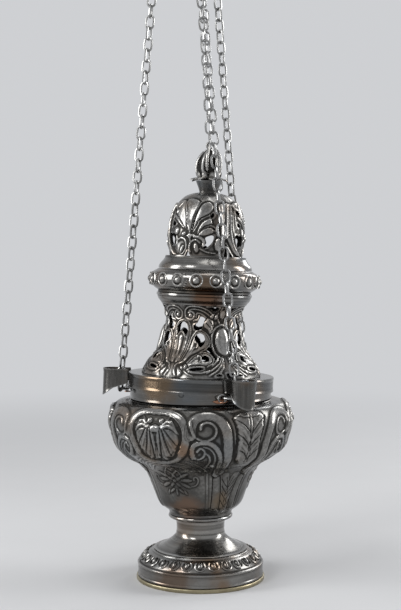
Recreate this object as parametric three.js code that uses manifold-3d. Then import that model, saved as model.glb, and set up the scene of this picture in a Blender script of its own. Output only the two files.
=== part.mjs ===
// A silver baroque censer: footed bowl, pierced lid that slides on three chains, and a handle plate.
// Millimetres, +Z up. The origin is the centre of the foot's underside; +X is the viewer's right, +Y is away.
import * as THREE from 'three';
import { mergeVertices } from 'three/addons/utils/BufferGeometryUtils.js';
import Module from 'manifold-3d';

const wasm = await Module();
wasm.setup();

// Clearances shared by all pieces
const seatGap = 0.3;
const boltGap = 0.3;

// Foot and stem
const footRadius = 39.3;
const footBandHeight = 9.0;
const footWall = 1.1;
const edgeRingHeight = 1.8;
const edgeRingWidth = 2.3;
const edgeRingProud = 0.6;
const shoulderInset = 1.8;
const shoulderHeight = 7.6;
const shoulderWidth = 9.3;
const beadCount = 26;
const beadLength = 4.4;
const beadWidth = 3.4;
const beadProud = 1.0;
const dishRadius = 29.0;
const stemWaistRadius = 14.9;
const stemTopRadius = 15.6;
const stemHeight = 18.7;
const stemWall = 1.2;
const collarRingRadius = 20.0;
const collarRingHeight = 2.6;

// Bowl and its upright collar
const bowlBaseRadius = 19.6;
const cupRadius = 30.2;
const cupHeight = 27.4;
const cupTopRadius = 35.3;
const bellyRadius = 56.8;
const bellyHeight = 60.0;
const bowlHeight = 72.2;
const bowlWall = 1.2;
const bowlTurnDeg = 4.2;
const rimCollarRadius = 43.9;
const rimCollarWall = 1.2;
const rimCollarHeight = 11.3;

// Bolt through bowl, collar ring and stem
const boltRadius = 3.0;
const boltHeadRadius = 6.0;
const boltHeadHeight = 2.6;
const boltEndBelowNut = 1.6;
const washerRadius = 8.0;
const washerThickness = 1.3;
const nutRadius = 5.8;
const nutHeight = 3.6;

// Fire pan
const panTopRadius = 39.5;
const panRimRadius = 41.4;
const panBottomRadius = 35.6;
const panWall = 1.0;
const panRimBelowMouth = 7.4;

// Lid
const lidLeanDeg = 2.3;
const lidNodDeg = 0.6;
const lidTurnDeg = -62.4;
const bandClearance = 0.7;
const bandWall = 0.6;
const bandHeight = 8.9;
const shelfThickness = 0.8;
const shelfHoleRadius = 33.0;
const skirtFootRadius = 37.3;
const skirtWaistRadius = 23.2;
const skirtHeight = 42.6;
const skirtTopRadius = 26.2;
const sheetWall = 1.1;
const knopRadius = 33.6;
const knopHeight = 21.4;
const knopMouldingRadius = 29.2;
const bossCount = 18;
const bossTurnDeg = -98.9;
const bossRadius = 3.0;
const bossProud = 1.3;
const collarLowRadius = 29.0;
const collarTopRadius = 25.0;
const flaredCollarHeight = 8.0;
const cupolaRadius = 23.9;
const cupolaHeight = 38.6;
const cupolaTurnDeg = 4.7;

// Chain guides on the lid band
const guideHalfWidth = 7.7;
const guideLowHalfWidth = 6.7;
const guideWall = 0.8;
const guideReach = 15.3;
const guideRise = 1.3;
const guideTipDrop = 6.9;
const guideFlange = 1.6;

// Finial
const finialRodRadius = 1.5;
const finialCupHeight = 7.4;
const finialCupLowRadius = 5.6;
const finialCupTopRadius = 8.0;
const leafSpread = 12.0;
const leafCount = 8;
const leafThickness = 0.9;
const budHeight = 17.4;
const budRadius = 7.4;
const petalCount = 8;
const finialNutRadius = 3.8;
const finialNutHeight = 2.4;
const finialLoopRadius = 2.0;
const finialLoopWire = 0.7;

// Chains and their fittings
const chainCount = 3;
const chainBarRadius = 2.2;
const chainEndGap = 0.3;
const linkLength = 9.0;
const linkWidth = 6.4;
const linkWire = 0.7;
const eyeAheadDeg = -12.2;
const eyeReach = 4.1;
const eyeLoopRadius = 1.15;
const eyeLoopWire = 0.4;
const eyePlateLength = 9.6;
const eyePlateHeight = 2.8;
const eyePlateThickness = 0.6;
const eyePlateLift = 1.9;
const eyeRingRadius = 2.3;
const eyeRingWire = 0.5;
const chainFootReach = 6.7;
const chainFootAside = -1.9;
const hookRise = 0.2;
const chainKinkHeight = 82;

// Handle plate and rings
const plateX = -7.4;
const plateZ = 400;
const plateRadius = 25.0;
const plateThickness = 1.4;
const plateRimHeight = 2.6;
const plateEyeCircle = 20.8;
const plateTurnDeg = -78.2;
const plateEyeLoopRadius = 1.6;
const plateEyeWire = 0.6;
const lidChainHoleRadius = 5.4;
const lidChainTopX = -0.5;
const lidChainSweep = 1.65;
const postLoopRadius = 2.6;
const postWire = 0.9;
const suspensionRingRadius = 12.5;
const suspensionRingWire = 1.3;
const pullRingRadius = 7.5;
const pullRingWire = 1.0;

// Facet counts
const wideSides = 36;
const chasedSides = 66;
const cupolaSides = 36;
const sheetSides = 30;
const narrowSides = 20;
const wireSides = 6;

// Worked-out heights and radii
const footTopZ = edgeRingHeight + seatGap + footBandHeight;
const shoulderTopZ = footTopZ + shoulderHeight;
const stemZ = shoulderTopZ + seatGap;
const collarRingZ = stemZ + stemHeight + seatGap;
const bowlZ = collarRingZ + collarRingHeight + seatGap;
const mouthZ = bowlZ + bowlHeight;
const rimCollarZ = mouthZ + seatGap;
const rimCollarTopZ = rimCollarZ + rimCollarHeight;
const bandInnerRadius = rimCollarRadius + bandClearance;
const bandRadius = bandInnerRadius + bandWall;
const lidLean = THREE.MathUtils.degToRad(lidLeanDeg);
const lidNod = THREE.MathUtils.degToRad(lidNodDeg);
const lidTilt = Math.hypot(lidLean, lidNod);
const lidZ = rimCollarTopZ + seatGap + rimCollarRadius * Math.sin(lidTilt)
  - (bandHeight - shelfThickness) * Math.cos(lidTilt);
const skirtH = bandHeight + seatGap;
const knopH = skirtH + skirtHeight + seatGap;
const flaredCollarH = knopH + knopHeight + seatGap;
const cupolaH = flaredCollarH + flaredCollarHeight + seatGap;
const finialH = cupolaH + cupolaHeight + seatGap;
const leafH = finialH + finialCupHeight + seatGap;
const budH = leafH + leafThickness + seatGap;
const finialLoopH = budH + budHeight + finialLoopRadius + finialLoopWire + seatGap;
const guideCentre = bandRadius + guideReach - guideHalfWidth;
const boreRadius = boltRadius + boltGap;
const rodBoreRadius = finialRodRadius + boltGap;

const turnStep = 360 / chainCount;
const rad = THREE.MathUtils.degToRad;
const vec = (x, y, z) => new THREE.Vector3(x, y, z);
const polar = (radius, degrees, z) => vec(radius * Math.cos(rad(degrees)), radius * Math.sin(rad(degrees)), z);

// Geometry helpers

function cleanMesh(geometry) {
  const bare = geometry.index ? geometry.toNonIndexed() : geometry.clone();
  bare.deleteAttribute('normal');
  if (bare.hasAttribute('uv')) bare.deleteAttribute('uv');
  const merged = mergeVertices(bare, 1e-4);
  const kept = [];
  const index = merged.index.array;
  for (let i = 0; i < index.length; i += 3) {
    const [a, b, c] = [index[i], index[i + 1], index[i + 2]];
    if (a !== b && b !== c && c !== a) kept.push(a, b, c);
  }
  merged.setIndex(kept);
  if (signedVolume(merged) < 0) {
    for (let i = 0; i < kept.length; i += 3) {
      const swap = kept[i + 1];
      kept[i + 1] = kept[i + 2];
      kept[i + 2] = swap;
    }
    merged.setIndex(kept);
  }
  return merged;
}

function signedVolume(geometry) {
  const position = geometry.attributes.position;
  const index = geometry.index.array;
  const corners = [vec(0, 0, 0), vec(0, 0, 0), vec(0, 0, 0)];
  let volume = 0;
  for (let i = 0; i < index.length; i += 3) {
    corners.forEach((corner, k) => corner.fromBufferAttribute(position, index[i + k]));
    volume += corners[0].dot(corners[1].cross(corners[2])) / 6;
  }
  return volume;
}

function solid(geometry) {
  const clean = cleanMesh(geometry);
  return new wasm.Manifold(new wasm.Mesh({
    numProp: 3,
    vertProperties: new Float32Array(clean.attributes.position.array),
    triVerts: new Uint32Array(clean.index.array),
  }));
}

function unsolid(body) {
  const mesh = body.getMesh();
  const geometry = new THREE.BufferGeometry();
  geometry.setAttribute('position', new THREE.BufferAttribute(new Float32Array(mesh.vertProperties), 3));
  geometry.setIndex(Array.from(mesh.triVerts));
  return geometry;
}

const join = (...bodies) => bodies.reduce((whole, body) => whole.add(body));
const cut = (body, ...tools) => tools.reduce((whole, tool) => whole.subtract(tool), body);

// A closed profile of [radius, height] points turned about the Z axis.
function turned(profile, sides = wideSides) {
  const points = profile.map(([r, h]) => new THREE.Vector2(r, h));
  const first = profile[0];
  const last = profile[profile.length - 1];
  const onAxis = first[0] === 0 && last[0] === 0;
  if (!onAxis) points.push(points[0].clone());
  return new THREE.LatheGeometry(points, sides).rotateX(Math.PI / 2);
}

function smooth(points, count) {
  const curve = new THREE.SplineCurve(points.map(([r, h]) => new THREE.Vector2(r, h)));
  return curve.getPoints(count).map((p) => [p.x, p.y]);
}

// The same curve moved sideways by a wall; positive moves to the left of the way the points run.
function offset(points, wall) {
  return points.map(([r, h], i) => {
    const [r0, h0] = points[Math.max(i - 1, 0)];
    const [r1, h1] = points[Math.min(i + 1, points.length - 1)];
    const length = Math.hypot(r1 - r0, h1 - h0);
    return [r - (wall * (h1 - h0)) / length, h + (wall * (r1 - r0)) / length];
  });
}

function shell(outer, wall, count) {
  const [low, high] = [outer[0][1], outer[outer.length - 1][1]];
  const inner = offset(outer, wall).map(([r, h]) => [r, Math.min(Math.max(h, low), high)]);
  const step = Math.max(1, Math.round(inner.length / count));
  const thinned = inner.filter((point, i) => i % step === 0 || i === inner.length - 1);
  return [...outer, ...thinned.reverse()];
}

const disc = (radius, z0, z1, sides = narrowSides) => turned([[0, z0], [radius, z0], [radius, z1], [0, z1]], sides);
const washerShape = (inner, outer, z0, z1, sides = narrowSides) => turned(
  [[inner, z0], [outer, z0], [outer, z1], [inner, z1]], sides);

// A wire ring in the XZ plane round its own centre.
const wireRing = (radius, wire, sides = 20) => new THREE.TorusGeometry(radius, wire, wireSides, sides)
  .rotateX(Math.PI / 2);

function wireAlong(points, wire, closed, steps, sides = wireSides) {
  const section = new THREE.Shape();
  for (let i = 0; i < sides; i += 1) {
    const angle = (2 * Math.PI * i) / sides;
    const move = i === 0 ? 'moveTo' : 'lineTo';
    section[move](wire * Math.cos(angle), wire * Math.sin(angle));
  }
  const path = points.length === 2
    ? new THREE.LineCurve3(points[0], points[1])
    : new THREE.CatmullRomCurve3(points, closed);
  return new THREE.ExtrudeGeometry(section, { steps, extrudePath: path, bevelEnabled: false });
}

function dome(radius, proud, sides = 6) {
  return new THREE.SphereGeometry(1, sides, 3).rotateX(Math.PI / 2).scale(radius, radius, proud);
}

// Moves a shape drawn in the XY plane, with +Z as its outside, onto a wall that faces azimuth `degrees`.
function ontoWall(geometry, radius, degrees, height) {
  return geometry.rotateX(Math.PI / 2).rotateZ(Math.PI / 2).rotateZ(rad(degrees))
    .translate(...polar(radius, degrees, height).toArray());
}

// A drop-shaped opening: `lean` turns its point, 0 has the round end up.
function dropTool({ turn, height, width, length, lean = 0 }, radius) {
  const shape = new THREE.Shape();
  const round = width / 2;
  const sides = 4;
  shape.moveTo(0, -length / 2);
  for (let i = 0; i <= sides; i += 1) {
    const angle = Math.PI * (i / sides) * 1.2 - 0.1 * Math.PI;
    shape.lineTo(round * Math.cos(angle), length / 2 - round + round * Math.sin(angle));
  }
  shape.closePath();
  const depth = 0.55 * radius;
  const tool = new THREE.ExtrudeGeometry(shape, { depth, steps: 1, bevelEnabled: false });
  tool.rotateZ(-rad(lean));
  return solid(ontoWall(tool, radius - depth / 2, turn, height));
}

// Foot, stem and bowl

function footEdgeRing() {
  const outer = footRadius + edgeRingProud;
  const inner = outer - edgeRingWidth;
  const round = 0.5;
  return turned([[inner, 0], [outer - round, 0], [outer, round], [outer, edgeRingHeight - round],
    [outer - round, edgeRingHeight], [inner, edgeRingHeight]]);
}

const shoulderRadius = footRadius - shoulderInset;
const shoulderPoint = (share) => {
  const angle = (share * Math.PI) / 2;
  return [shoulderRadius - shoulderWidth * (1 - Math.cos(angle)), footTopZ + shoulderHeight * Math.sin(angle)];
};

function footShell() {
  const z0 = edgeRingHeight + seatGap;
  const curve = [0.1, 0.35, 0.6, 0.8, 1].map(shoulderPoint);
  const outer = [[footRadius, z0], [footRadius, footTopZ - 0.4], [footRadius - 0.5, footTopZ],
    [shoulderRadius, footTopZ + 0.4], ...curve];
  const inside = [[shoulderRadius - shoulderWidth, shoulderTopZ - footWall],
    [shoulderRadius - 0.62 * shoulderWidth, shoulderTopZ - 1.7 * footWall],
    [shoulderRadius - 2.2 * footWall, footTopZ + 0.35 * shoulderHeight],
    [shoulderRadius - 1.4 * footWall, footTopZ - footWall], [footRadius - footWall, footTopZ - 1.4 * footWall],
    [footRadius - footWall, z0]];
  let body = solid(turned([...outer, ...inside]));
  const [beadR, beadZ] = shoulderPoint(0.5);
  const slope = Math.atan2(shoulderHeight, shoulderWidth);
  for (let i = 0; i < beadCount; i += 1) {
    const bead = dome(1, 1).scale(beadWidth / 2, beadLength / 2, beadProud).rotateX(-slope);
    body = body.add(solid(ontoWall(bead, beadR, (360 * (i + 0.5)) / beadCount, beadZ)));
  }
  return unsolid(body);
}

function stem() {
  const top = stemZ + stemHeight;
  const rimDrop = seatGap;
  const outer = smooth([[dishRadius, stemZ + 0.5], [21.8, stemZ + 3.9], [17.3, stemZ + 6.6],
    [stemWaistRadius, stemZ + 10.2], [stemWaistRadius + 0.1, stemZ + 14.6], [stemTopRadius, top]], 9);
  const innerWall = offset(outer, stemWall).slice(1, -1).reverse();
  const under = [[dishRadius, stemZ + 0.5 - rimDrop]];
  const plateZ0 = top - stemWall;
  const inside = innerWall.filter(([, z]) => z < plateZ0 - 1);
  return turned([...outer, [boreRadius, top], [boreRadius, plateZ0], [stemWaistRadius - 0.7, plateZ0],
    ...inside, ...under], 28);
}

function collarRing() {
  const z0 = collarRingZ;
  const z1 = z0 + collarRingHeight;
  const radius = collarRingRadius;
  return turned([[boreRadius, z0], [radius - 3.4, z0], [radius - 0.5, z0 + 0.8], [radius, z0 + 1.5],
    [radius - 0.4, z1], [boreRadius, z1]], 28);
}

const bowlOutline = smooth([
  [bowlBaseRadius, bowlZ], [bowlBaseRadius + 6.6, bowlZ + 6.6], [cupRadius, bowlZ + 15.6],
  [cupTopRadius, bowlZ + cupHeight], [cupTopRadius + 9.6, bowlZ + cupHeight + 7.2],
  [bellyRadius - 3.4, bowlZ + bellyHeight - 16.4], [bellyRadius, bowlZ + bellyHeight - 0.4],
  [bellyRadius - 3.0, bowlZ + bellyHeight + 8.6], [bellyRadius - 9.0, mouthZ - 0.2],
  [rimCollarRadius + 0.4, mouthZ],
], 24);

const bowlFloor = bowlWall + 0.2;
const waistReach = 5;
const waistZ = bowlZ + cupHeight;
// Every third point of the wall, and all of them round the waist, where a longer step would cut through it.
const bowlInside = [[bowlBaseRadius - bowlWall, bowlZ + bowlFloor],
  ...offset(bowlOutline, bowlWall).filter(([r, z], i) => (i % 3 === 0 || Math.abs(z - waistZ) < waistReach)
    && z > bowlZ + bowlFloor + 1 && z < mouthZ - 1.6)];

// Chased work on one sector of the bowl, mirrored about its middle. Points are [degrees from the middle, mm up
// the wall from its foot]; a ridge follows its path, and a boss is an oval with half its width and height.
const bowlChasing = { mirrored: true, chasing: [
  { half: 3.6, lift: 1.5, path: [[0, 84], [10, 83], [17, 77], [19.5, 67], [16, 58]] },
  { half: 13, tall: 13, lift: 1.4, path: [[0, 65]] },
  { half: 4.0, lift: 1.5, path: [[22, 69], [25, 79], [33, 82], [41, 78], [45, 68], [46, 52], [45, 38]] },
  { half: 5, tall: 5, lift: 1.2, path: [[32, 72]] },
  { half: 3.0, lift: 1.2, path: [[25, 58], [27, 64], [34, 64], [40, 58], [42, 44]] },
  { half: 9.0, tall: 21, lift: 1.6, path: [[60, 67]] },
  { half: 2.8, lift: 0.9, path: [[44, 33], [47, 20], [46, 8]] },
  { half: 3.4, lift: 0.8, path: [[60, 33], [60, 9]] },
  { half: 6, tall: 5, lift: 0.7, path: [[8, 29]] },
] };

// How high the chasing stands at a place on a wall of that radius, in the sectors and across their borders.
function chasedHeight({ chasing, mirrored }, degrees, along, radius) {
  const turn = ((((degrees + turnStep / 2) % turnStep) + turnStep) % turnStep) - turnStep / 2;
  const heightAt = (aside) => Math.max(0, ...chasing.map(({ half, tall = half, lift, path }) => {
    const spots = path.map(([x, y]) => [rad(x - aside) * radius / half, (y - along) / tall]);
    const nearest = spots.map(([x, y], k) => {
      const [x1, y1] = spots[Math.min(k + 1, spots.length - 1)];
      const [dx, dy] = [x1 - x, y1 - y];
      const share = Math.min(Math.max(-(x * dx + y * dy) / (dx * dx + dy * dy || 1), 0), 1);
      return Math.hypot(x + dx * share, y + dy * share);
    });
    return lift * Math.max(0, 1 - Math.min(...nearest) ** 2);
  }));
  const places = [turn, turn - turnStep, turn + turnStep];
  return Math.max(...[...places, ...(mirrored ? places.map((x) => -x) : [])].map(heightAt));
}

// A closed blank turned from an outline that starts and ends on the axis, its wall raised by the chasing.
function chasedBlank(outline, chasing, sides, middleDeg, underside, top) {
  const points = [];
  const faces = [];
  let along = 0;
  const normals = offset(outline, -1).map(([r, z], i) => [r - outline[i][0], z - outline[i][1]]);
  outline.forEach(([r, z], i) => {
    if (i > 0) along += Math.hypot(r - outline[i - 1][0], z - outline[i - 1][1]);
    for (let k = 0; k < sides; k += 1) {
      const degrees = (360 * k) / sides;
      const rise = i > 0 && i < outline.length - 1 ? chasedHeight(chasing, degrees, along, r) : 0;
      const high = Math.min(Math.max(z + normals[i][1] * rise, underside), top);
      points.push(...polar(r + normals[i][0] * rise, degrees + middleDeg, high).toArray());
    }
  });
  const [low, high] = [points.length / 3, points.length / 3 + 1];
  points.push(0, 0, underside, 0, 0, top);
  for (let k = 0; k < sides; k += 1) {
    const next = (k + 1) % sides;
    faces.push(low, next, k);
    for (let i = 0; i < outline.length - 1; i += 1) {
      const [a, b, c, d] = [i * sides + k, i * sides + next, (i + 1) * sides + next, (i + 1) * sides + k];
      faces.push(a, b, c, a, c, d);
    }
    const last = (outline.length - 1) * sides;
    faces.push(high, last + k, last + next);
  }
  const geometry = new THREE.BufferGeometry();
  geometry.setAttribute('position', new THREE.BufferAttribute(new Float32Array(points), 3));
  geometry.setIndex(faces);
  return solid(geometry);
}

function bowl() {
  const mouthRadius = rimCollarRadius - rimCollarWall;
  const outside = chasedBlank(bowlOutline, bowlChasing, chasedSides, guideTurn(0) - turnStep / 2 + bowlTurnDeg,
    bowlZ, mouthZ + 0.12);
  const inside = turned([[0, bowlZ + bowlFloor], ...bowlInside, [mouthRadius, mouthZ - bowlWall],
    [mouthRadius, mouthZ + 1], [0, mouthZ + 1]]);
  return unsolid(cut(outside, solid(inside), solid(disc(boreRadius, bowlZ - 1, bowlZ + bowlFloor + 1))));
}

function rimCollar() {
  return washerShape(rimCollarRadius - rimCollarWall, rimCollarRadius, rimCollarZ, rimCollarTopZ, wideSides);
}

function stemBolt() {
  const headZ = bowlZ + bowlFloor + seatGap;
  const endZ = nutZ - boltEndBelowNut;
  return turned([[0, endZ], [boltRadius, endZ], [boltRadius, headZ], [boltHeadRadius, headZ],
    [boltHeadRadius, headZ + boltHeadHeight * 0.6], [boltHeadRadius * 0.6, headZ + boltHeadHeight],
    [0, headZ + boltHeadHeight]], narrowSides);
}

const washerZ = stemZ + stemHeight - stemWall - seatGap - washerThickness;
const nutZ = washerZ - seatGap - nutHeight;

const boltWasher = () => washerShape(boreRadius, washerRadius, washerZ, washerZ + washerThickness);

function hexNut(bore, radius, z0, z1) {
  const blank = solid(disc(radius, z0, z1, 6));
  return unsolid(cut(blank, solid(disc(bore, z0 - 1, z1 + 1, 12))));
}

// The pan's flat floor rests where the bowl narrows into its lower cup.
function panFloorZ() {
  const wanted = panBottomRadius + seatGap;
  const upper = bowlInside.findIndex(([r, z]) => r > wanted && z > bowlZ + cupHeight / 2);
  const [[r0, z0], [r1, z1]] = [bowlInside[upper - 1], bowlInside[upper]];
  return z0 + ((z1 - z0) * (wanted - r0)) / (r1 - r0) + seatGap / 2;
}

function firePan() {
  const z0 = panFloorZ();
  const rimZ = mouthZ - panRimBelowMouth;
  return turned([[0, z0], [panBottomRadius, z0], [panBottomRadius + 1.6, z0 + 3], [panTopRadius, rimZ - 1],
    [panRimRadius, rimZ], [panRimRadius, rimZ + panWall], [panTopRadius - panWall, rimZ + panWall],
    [panBottomRadius + 1.6 - panWall, z0 + 3.2], [panBottomRadius - panWall, z0 + panWall],
    [0, z0 + panWall]], 32);
}

// Eyes, rings and hook links at the bowl's rim

const eyeZ = rimCollarZ + eyePlateLift;
const ringCentreZ = eyeZ + eyeRingRadius;
const eyeRadius = rimCollarRadius + eyeReach;

function chainEye(degrees) {
  const leaf = new THREE.Shape();
  leaf.moveTo(-eyePlateLength / 2, 0);
  leaf.quadraticCurveTo(0, -eyePlateHeight, eyePlateLength / 2, 0);
  leaf.quadraticCurveTo(0, eyePlateHeight, -eyePlateLength / 2, 0);
  const plate = new THREE.ExtrudeGeometry(leaf, { depth: 3, bevelEnabled: false, curveSegments: 5 });
  const seat = rimCollarRadius + seatGap;
  const ring = solid(washerShape(seat, seat + eyePlateThickness, eyeZ - 5, eyeZ + 5, 96));
  const leafBody = solid(ontoWall(plate, seat - 1.4, degrees, eyeZ)).intersect(ring);
  const neckLength = eyeReach - eyeLoopRadius - seatGap;
  const neck = new THREE.CylinderGeometry(eyeLoopWire, eyeLoopWire, neckLength, 6)
    .rotateX(Math.PI / 2).translate(0, 0, neckLength / 2 + 0.05);
  const loop = wireRing(eyeLoopRadius, eyeLoopWire, 12).rotateX(Math.PI / 2).rotateY(Math.PI / 2);
  return unsolid(join(leafBody, solid(ontoWall(neck, seat + 0.1, degrees, eyeZ)),
    solid(ontoWall(loop, eyeRadius, degrees, eyeZ))));
}

function eyeRing(degrees) {
  const ring = wireRing(eyeRingRadius, eyeRingWire, 16).rotateX(Math.PI / 2);
  return ontoWall(ring, eyeRadius, degrees, ringCentreZ);
}

// An oval link in the XY plane, long along X: a ring whose two halves are drawn apart.
function ovalLink() {
  const sides = 12;
  const link = new THREE.TorusGeometry(linkWidth / 2 - linkWire, linkWire, wireSides, sides);
  link.rotateZ(Math.PI / sides);
  const position = link.attributes.position;
  for (let k = 0; k < position.count; k += 1) {
    const x = position.getX(k);
    position.setX(k, x + (Math.sign(x) * (linkLength - linkWidth)) / 2);
  }
  return link;
}

// The place where each support chain leaves its hook link, and where it ends below the plate.
const guideTurn = (i) => lidTurnDeg + turnStep * i;
function chainFoot(i) {
  const out = polar(rimCollarRadius + chainFootReach, guideTurn(i), ringCentreZ + hookRise);
  return out.add(polar(chainFootAside, guideTurn(i) + 90, 0));
}
const plateEyeZ = plateZ - plateEyeLoopRadius - plateEyeWire - seatGap;
const chainHead = (i) => polar(plateEyeCircle, plateTurnDeg + turnStep * i, plateEyeZ).add(vec(plateX, 0, 0));

function hookLink(i) {
  const hook = polar(eyeRadius, guideTurn(i) + eyeAheadDeg, chainFoot(i).z)
    .add(polar(eyeRingRadius, guideTurn(i) + eyeAheadDeg + 90, 0));
  const foot = chainFoot(i);
  const along = Math.atan2(foot.y - hook.y, foot.x - hook.x);
  const reach = linkLength / 2 - 2 * linkWire - eyeRingWire - seatGap;
  return ovalLink().rotateZ(along)
    .translate(hook.x + reach * Math.cos(along), hook.y + reach * Math.sin(along), foot.z);
}

// Each support chain is a straight run; it bends at the kink when the lid is raised.
function chainKink(i) {
  const [foot, head] = [chainFoot(i), chainHead(i)];
  return foot.clone().lerp(head, chainKinkHeight / (head.z - foot.z));
}
function chainBar(from, to, startGap, endGap) {
  const along = to.clone().sub(from).normalize();
  const start = from.clone().addScaledVector(along, startGap);
  const end = to.clone().addScaledVector(along, -endGap);
  const steps = Math.ceil(start.distanceTo(end) / 14);
  return wireAlong([start, end], chainBarRadius, false, steps, 8);
}
const lowerChain = (i) => chainBar(chainFoot(i), chainKink(i), linkWire + chainEndGap, chainEndGap);
const upperChain = (i) => chainBar(chainKink(i), chainHead(i), chainEndGap,
  plateEyeLoopRadius + plateEyeWire + seatGap);

// Lid, in its own frame: height 0 is the lower edge of the band

function lidBand() {
  return turned([[bandInnerRadius, 0], [bandRadius, 0], [bandRadius, bandHeight], [shelfHoleRadius, bandHeight],
    [shelfHoleRadius, bandHeight - shelfThickness], [bandInnerRadius, bandHeight - shelfThickness]]);
}

function chainGuide(degrees) {
  const back = bandRadius + seatGap;
  const [halfOut, halfIn] = [guideHalfWidth, guideHalfWidth - guideWall];
  const flangeEnd = halfOut + guideFlange;
  const onBand = (radius, aside) => [Math.sqrt(radius ** 2 - aside ** 2), aside];
  const arc = (half, count) => Array.from({ length: count + 1 }, (unused, k) => {
    const angle = Math.PI / 2 - (Math.PI * k) / count;
    return [guideCentre + half * Math.cos(angle), half * Math.sin(angle)];
  });
  const front = back + guideWall;
  const outline = [onBand(front, flangeEnd), onBand(front, halfOut), ...arc(halfOut, 12), onBand(front, -halfOut),
    onBand(front, -flangeEnd), onBand(back, -flangeEnd), onBand(back, -halfIn), ...arc(halfIn, 12).reverse(),
    onBand(back, halfIn), onBand(back, flangeEnd)];
  const section = new THREE.Shape(outline.map(([x, y]) => new THREE.Vector2(x, y)));
  const top = bandHeight + guideRise;
  const low = -guideTipDrop - 1;
  const geometry = new THREE.ExtrudeGeometry(section, { depth: top - low, steps: 1, bevelEnabled: false });
  geometry.translate(0, 0, low);
  const position = geometry.attributes.position;
  const taper = (guideHalfWidth - guideLowHalfWidth) / (guideHalfWidth * (top + guideTipDrop));
  for (let k = 0; k < position.count; k += 1) {
    const shrink = 1 - taper * (top - position.getZ(k));
    position.setY(k, position.getY(k) * shrink);
  }
  // The lower edge: level beside the band, then slanting down to the outer tip.
  const edge = new THREE.Shape([[back - 6, 2.0], [back + 6.4, 2.0], [back + 9.4, -2.6],
    [back + guideReach, -guideTipDrop], [back + guideReach + 6, -guideTipDrop], [back + guideReach + 6, low - 4],
    [back - 6, low - 4]].map(([x, z]) => new THREE.Vector2(x, z)));
  const under = new THREE.ExtrudeGeometry(edge, { depth: 4 * halfOut, bevelEnabled: false })
    .rotateX(Math.PI / 2).translate(0, 2 * halfOut, 0);
  const body = cut(solid(geometry), solid(under));
  return unsolid(body).rotateZ(rad(degrees));
}

const skirtOutline = smooth([
  [skirtFootRadius, skirtH], [skirtFootRadius - 3.6, skirtH + 8.4], [skirtFootRadius - 8.4, skirtH + 13.6],
  [skirtWaistRadius + 2.7, skirtH + 18.8], [skirtWaistRadius + 1.1, skirtH + 28.2],
  [skirtWaistRadius, skirtH + 35.0], [skirtTopRadius, skirtH + skirtHeight],
], 10);

// Openings of one third of the skirt, measured from the palmette's middle in degrees.
const skirtDrops = [
  { turn: 0, height: 28.6, width: 5.2, length: 8.4 },
  { turn: 21, height: 23.6, width: 5.0, length: 8.6, lean: 24 },
  { turn: -21, height: 23.6, width: 5.0, length: 8.6, lean: -24 },
  { turn: 32, height: 14.4, width: 4.6, length: 6.6, lean: 62 },
  { turn: -32, height: 14.4, width: 4.6, length: 6.6, lean: -62 },
  { turn: 24, height: 33.6, width: 6.4, length: 8.2, lean: -30 },
  { turn: -24, height: 33.6, width: 6.4, length: 8.2, lean: 30 },
];

function skirt() {
  const body = solid(turned(shell(skirtOutline, sheetWall, 5), sheetSides));
  const tools = [];
  for (let i = 0; i < chainCount; i += 1) {
    for (const drop of skirtDrops) {
      const turn = guideTurn(i) - turnStep / 2 + drop.turn;
      tools.push(dropTool({ ...drop, turn, height: skirtH + drop.height }, skirtWaistRadius + 4));
    }
  }
  return unsolid(cut(body, ...tools));
}

function knop() {
  const belt = [[30.0, 8.6], [knopRadius - 1.2, 10.4], [knopRadius, 12.6], [knopRadius, 15.0],
    [knopRadius - 1.6, 17.6], [knopRadius - 3.2, 18.8]];
  const outer = [[skirtTopRadius, 0], [skirtTopRadius + 2.0, 2.0], [knopMouldingRadius, 4.0],
    [knopMouldingRadius, 5.4], [knopMouldingRadius - 0.8, 7.4], ...belt, [collarLowRadius + 0.6, 20.4],
    [collarLowRadius, knopHeight]].map(([r, h]) => [r, knopH + h]);
  const inner = [[collarLowRadius - sheetWall, knopHeight], [knopRadius - 3.6, 17.4], [knopRadius - 1.5, 14.4],
    [knopRadius - 1.5, 12.6], [28.6, 9.0], [27.4, 6.2], [27.4, 4.4],
    [skirtTopRadius - 1.1, 0]].map(([r, h]) => [r, knopH + h]);
  let body = solid(turned([...outer, ...inner], sheetSides));
  for (let i = 0; i < bossCount; i += 1) {
    const boss = solid(ontoWall(dome(bossRadius, bossProud), knopRadius - 0.1, bossTurnDeg + (360 * i) / bossCount,
      knopH + 13.8));
    body = body.add(boss);
  }
  return unsolid(body);
}

function flaredCollar() {
  const z0 = flaredCollarH;
  const z1 = z0 + flaredCollarHeight;
  return turned([[collarLowRadius - sheetWall, z0], [collarLowRadius, z0], [collarLowRadius - 0.6, z0 + 1.8],
    [collarLowRadius - 2.4, z0 + 5.4], [collarTopRadius, z1], [collarTopRadius - 1.9, z1],
    [collarLowRadius - 3.6, z0 + 5.0], [collarLowRadius - 1.8, z0 + 1.6]], sheetSides);
}

const cupolaOutline = smooth([
  [cupolaRadius - 0.6, cupolaH], [cupolaRadius, cupolaH + 11.6], [cupolaRadius - 1.4, cupolaH + 22.2],
  [cupolaRadius - 4.0, cupolaH + 31.2], [cupolaRadius - 9.8, cupolaH + 37.2],
  [cupolaRadius - 14.6, cupolaH + cupolaHeight - 0.3], [rodBoreRadius, cupolaH + cupolaHeight],
], 11);

const cupolaDrops = [
  { turn: 0, height: 6.2, width: 4.6, length: 6.6 },
  { turn: 25, height: 10.6, width: 4.4, length: 6.2, lean: -24 },
  { turn: -25, height: 10.6, width: 4.4, length: 6.2, lean: 24 },
  { turn: 27, height: 23.6, width: 3.0, length: 5.6, lean: 8 },
  { turn: -27, height: 23.6, width: 3.0, length: 5.6, lean: -8 },
  { turn: 60, height: 5.8, width: 5.0, length: 6.8, lean: 180 },
];

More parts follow.
